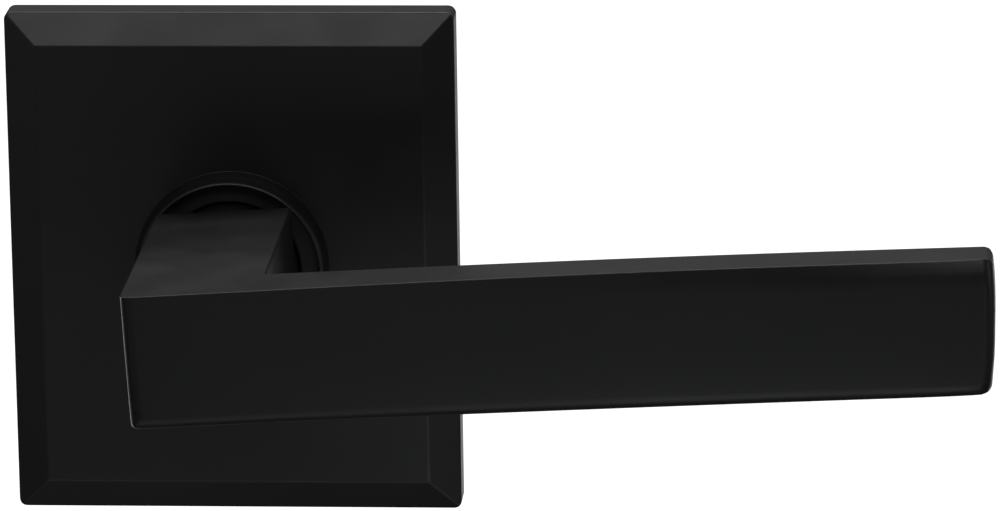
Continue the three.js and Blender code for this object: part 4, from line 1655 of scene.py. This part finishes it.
@dataclass
class Studio:
    """Camera, lamps, surroundings and floor, in metres."""

    azimuth: float = 4.12
    elevation: float = 15.02
    roll: float = -0.86
    distance: float = 1.043
    aim: Point = (0.03927, 0.0, -0.00019)
    lens: float = 252.0
    floor_drop: float = 1.6
    floor_size: float = 30.0
    ambient: tuple[float, float, float] = (0.045, 0.045, 0.046)
    boxes: tuple[SoftBox, ...] = (
        SoftBox("box_front_above", 0, 45, 1.5, 1.7, 0.45, 6.4, (1.0, 0.98, 0.975)),
        SoftBox("box_overhead", 180, 70, 1.5, 1.7, 0.45, 12.0),
        SoftBox("box_rear_above", 180, 45, 1.5, 1.7, 0.45, 3.3),
        SoftBox("box_rear_level", 180, 10, 1.5, 1.7, 0.45, 0.35),
        SoftBox("box_front_low", 0, -18, 1.5, 1.7, 0.4, 0.54, (0.96, 1.0, 1.0)),
        SoftBox("box_left", -55, 5, 1.4, 0.5, 0.9, 0.57, (0.96, 1.0, 1.0)),
        SoftBox("box_right", 80, 5, 1.4, 0.5, 0.9, 0.9),
        SoftBox("box_low_right", 35, -20, 1.5, 0.6, 0.6, 0.45),
        SoftBox("strip_under_grip", -10, -55, 0.2, 0.25, 0.1, 0.03),
        SoftBox("strip_low_right", 22, -34, 0.16, 0.12, 0.05, 0.012, (0.94, 0.97, 1.0)),
        SoftBox("box_rear_left", -150, -22, 1.6, 1.0, 0.8, 3.2),
        SoftBox("box_rear_right", 150, -22, 1.6, 1.0, 0.8, 3.2),
    )

    def build(self) -> None:
        """Sets up the studio."""
        self.place_camera()
        for box in self.boxes:
            box.build()
        self.light_surroundings()
        self.lay_floor()
        bpy.context.scene.view_settings.view_transform = "Standard"

    def place_camera(self) -> None:
        """Puts the camera in front, a little to the right and above, slightly rolled."""
        around, above, roll = (
            math.radians(v) for v in (self.azimuth, self.elevation, self.roll)
        )
        away = Vector((
            math.sin(around) * math.cos(above), -math.cos(around) * math.cos(above), math.sin(above)
        ))
        right = Vector((math.cos(around), math.sin(around), 0))
        up = away.cross(right)
        turned_right = right * math.cos(roll) + up * math.sin(roll)
        turned_up = away.cross(turned_right)
        data = bpy.data.cameras.new("camera")
        data.sensor_width = 36.0
        data.lens = self.lens
        data.clip_start = 0.05
        camera = bpy.data.objects.new("camera", data)
        bpy.context.scene.collection.objects.link(camera)
        turn = Matrix((turned_right, turned_up, away)).transposed().to_4x4()
        camera.matrix_world = Matrix.Translation(Vector(self.aim) + away * self.distance) @ turn
        bpy.context.scene.camera = camera

    def light_surroundings(self) -> None:
        """Makes the surroundings white to the camera and dim to everything else."""
        world = bpy.data.worlds.new("studio")
        world.use_nodes = True
        bpy.context.scene.world = world
        nodes, links = world.node_tree.nodes, world.node_tree.links
        dim = nodes["Background"]
        dim.inputs["Color"].default_value = (*self.ambient, 1.0)
        white = nodes.new("ShaderNodeBackground")
        path = nodes.new("ShaderNodeLightPath")
        mix = nodes.new("ShaderNodeMixShader")
        links.new(path.outputs["Is Camera Ray"], mix.inputs[0])
        links.new(dim.outputs[0], mix.inputs[1])
        links.new(white.outputs[0], mix.inputs[2])
        white.inputs["Color"].default_value = (1.0, 1.0, 1.0, 1.0)
        links.new(mix.outputs[0], nodes["World Output"].inputs["Surface"])

    def lay_floor(self) -> None:
        """Lays a wide pale floor well below the object."""
        clear_bench()
        bpy.ops.mesh.primitive_grid_add(
            x_subdivisions=8, y_subdivisions=8, size=self.floor_size,
            location=(0, 0, -self.floor_drop),
        )
        floor = bpy.context.object
        floor.name = "floor"
        floor.visible_glossy = False
        floor.visible_diffuse = False
        material = bpy.data.materials.new("pale_floor")
        material.use_nodes = True
        bench = ShaderBench(material.node_tree)
        shader = material.node_tree.nodes["Principled BSDF"]
        tone = bench.add(
            "Mix", {"data_type": "RGBA"},
            i0=bench.noise(bench.place(), 3.0), i6=(0.86, 0.86, 0.86, 1.0), i7=(0.9, 0.9, 0.9, 1.0),
        )
        material.node_tree.links.new(tone.outputs[2], shader.inputs["Base Color"])
        material.node_tree.links.new(tone.outputs[2], shader.inputs["Emission Color"])
        shader.inputs["Emission Strength"].default_value = 1.3
        shader.inputs["Roughness"].default_value = 0.9
        floor.data.materials.append(material)


def main() -> None:
    """Builds the studio and every sub-assembly, in order."""
    logging.basicConfig(level=logging.INFO, format="%(name)s: %(message)s")
    Studio().build()
    finishes = Finishes()
    Rose().build(finishes)
    Lever().build(finishes)
    MountingPlate().build(finishes)
    SpringCase().build(finishes)
    Drive().build(finishes)


if __name__ == "__main__":
    main()
